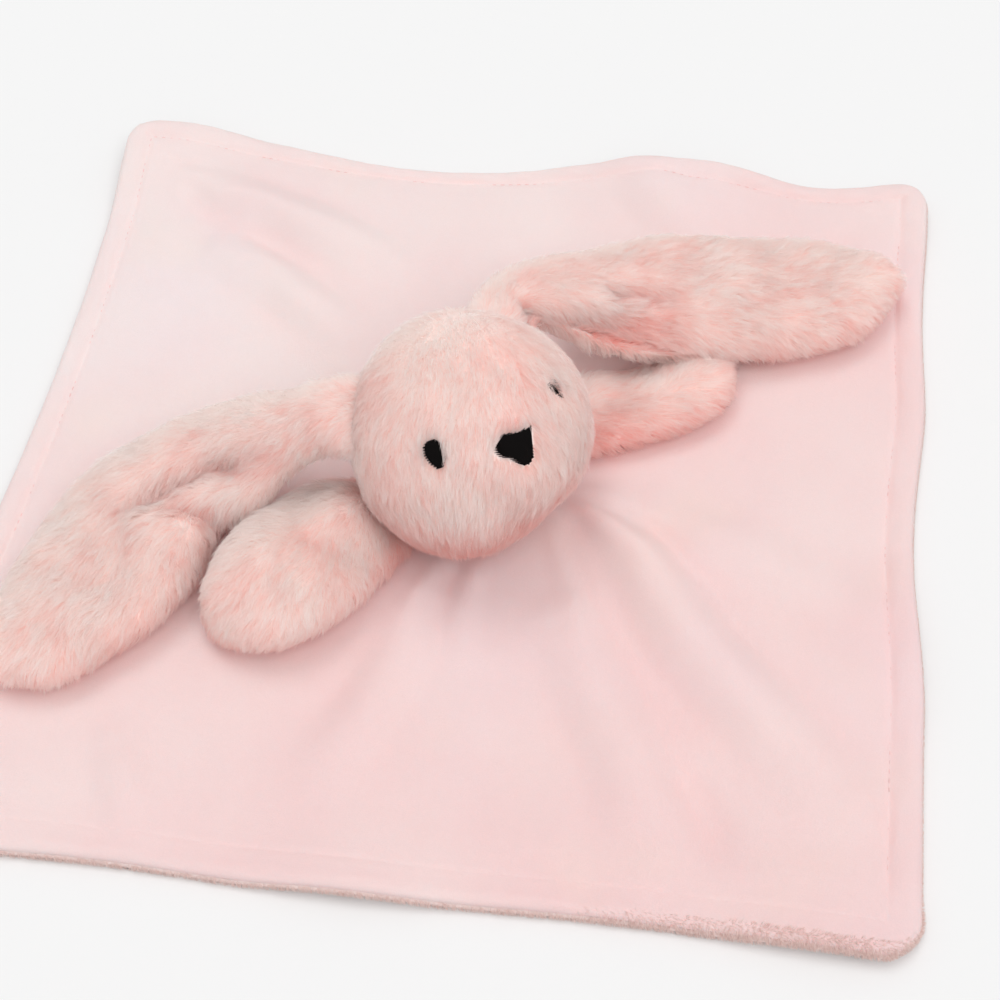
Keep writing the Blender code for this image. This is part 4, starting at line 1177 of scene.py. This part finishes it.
for piece in (front, stitches):
    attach(piece, "blanket")
for piece in (back, rim_fur):
    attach(piece, "blanket")
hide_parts("blanket_front")
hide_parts("blanket_back")
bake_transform(neck)
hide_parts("neck")
for piece in (head_skin_piece, *head_furs, eye_left, eye_right, nose):
    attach(piece, "head")
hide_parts("face_panel_left", "face_panel_right", "head_back_panel", "head_filling")
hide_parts("eye_left")
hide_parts("eye_right")
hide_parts("nose")
for name in LIMBS:
    for piece in (skins[name], furs[name]):
        if name.startswith("ear"):
            side = -1 if name == "ear_left" else 1
            root, out, _ = ear_root(side)
            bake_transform(piece)
        else:
            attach(piece, name)
            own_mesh(piece)
    if name.startswith("ear"):
        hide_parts(name + "_outer_ply", name + "_inner_ply")
    else:
        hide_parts(name + "_top_ply", name + "_under_ply", name + "_filling")


# Floor, light and camera

FLOOR_TONE, BACKGROUND_SEEN, AMBIENT = 0.870, 0.922, 0.57
KEY_SHARE, KEY_FROM, KEY_ANGLE = 0.22, unit(np.array([-0.16, 0.18, 1.0])), 34
FILL_SHARE, FILL_FROM, FILL_ANGLE = 0.27, unit(np.array([0.46, -0.46, 1.0])), 40
CAMERA_AT, CAMERA_REACH = np.array([0.01715, -0.00947, 0.0]), 0.64557
AZIMUTH, ELEVATION, ROLL = np.radians((12.25, 53.66, -4.79))
SENSOR, FOCAL = 36, 1.74604  # millimetres, and focal length in widths of the picture

floor_nodes = Nodes("floor")
floor_nodes.shader.inputs["Base Color"].default_value = (FLOOR_TONE, FLOOR_TONE, FLOOR_TONE, 1)
floor_nodes.finish(1.0, 0.0)
floor_points = np.array([(-4, -4, 0), (4, -4, 0), (4, 4, 0), (-4, 4, 0)]) - UP * 0.2 * MM
floor = make_piece("floor", floor_points, [[(0, 1, 2, 3)]], floor_nodes.material)

# The world is paler where the camera, a reflection or a clear surface sees it than as a light
world = bpy.data.worlds.new("studio")
bpy.context.scene.world = world
world.use_nodes = True
tree = world.node_tree
background = tree.nodes["Background"]
background.inputs["Color"].default_value = (1, 1, 1, 1)
path = tree.nodes.new("ShaderNodeLightPath")
largest, widest = [tree.nodes.new("ShaderNodeMath") for _ in range(2)]
largest.operation = widest.operation = "MAXIMUM"
level_node = tree.nodes.new("ShaderNodeMapRange")
level_node.inputs["To Min"].default_value = AMBIENT
level_node.inputs["To Max"].default_value = BACKGROUND_SEEN
for out, into in (
    (path.outputs["Is Camera Ray"], largest.inputs[0]),
    (widest.outputs[0], largest.inputs[1]),
    (path.outputs["Is Glossy Ray"], widest.inputs[0]),
    (path.outputs["Is Transmission Ray"], widest.inputs[1]),
    (largest.outputs[0], level_node.inputs["Value"]),
    (level_node.outputs[0], background.inputs["Strength"]),
):
    tree.links.new(out, into)


def aim(item, place, right, up, back):
    matrix = np.eye(4)
    matrix[:3, 0], matrix[:3, 1], matrix[:3, 2], matrix[:3, 3] = right, up, back, place
    item.matrix_world = Matrix(matrix.tolist())


def add_sun(name, share, come_from, angle):
    """A soft distant lamp that gives a level surface the share of its light."""
    data = bpy.data.lights.new(name, "SUN")
    data.energy = share * np.pi / come_from[2]
    data.angle = np.radians(angle)
    right = unit(np.cross(UP, come_from))
    aim(add_object(name, data), come_from, right, np.cross(come_from, right), come_from)


add_sun("key", KEY_SHARE, KEY_FROM, KEY_ANGLE)
add_sun("fill", FILL_SHARE, FILL_FROM, FILL_ANGLE)

flat_back = np.array([np.sin(AZIMUTH), -np.cos(AZIMUTH), 0.0])
look_back = flat_back * np.cos(ELEVATION) + UP * np.sin(ELEVATION)
level_right = unit(np.cross(-look_back, UP))
level_up = np.cross(level_right, -look_back)
camera_data = bpy.data.cameras.new("camera")
camera_data.sensor_width = SENSOR
camera_data.lens = FOCAL * SENSOR
camera_data.clip_start, camera_data.clip_end = 0.01, 50
camera = add_object("camera", camera_data)
aim(
    camera,
    CAMERA_AT + look_back * CAMERA_REACH,
    level_right * np.cos(ROLL) + level_up * np.sin(ROLL),
    level_up * np.cos(ROLL) - level_right * np.sin(ROLL),
    look_back,
)
bpy.context.scene.camera = camera
bpy.context.scene.view_settings.view_transform = "Standard"
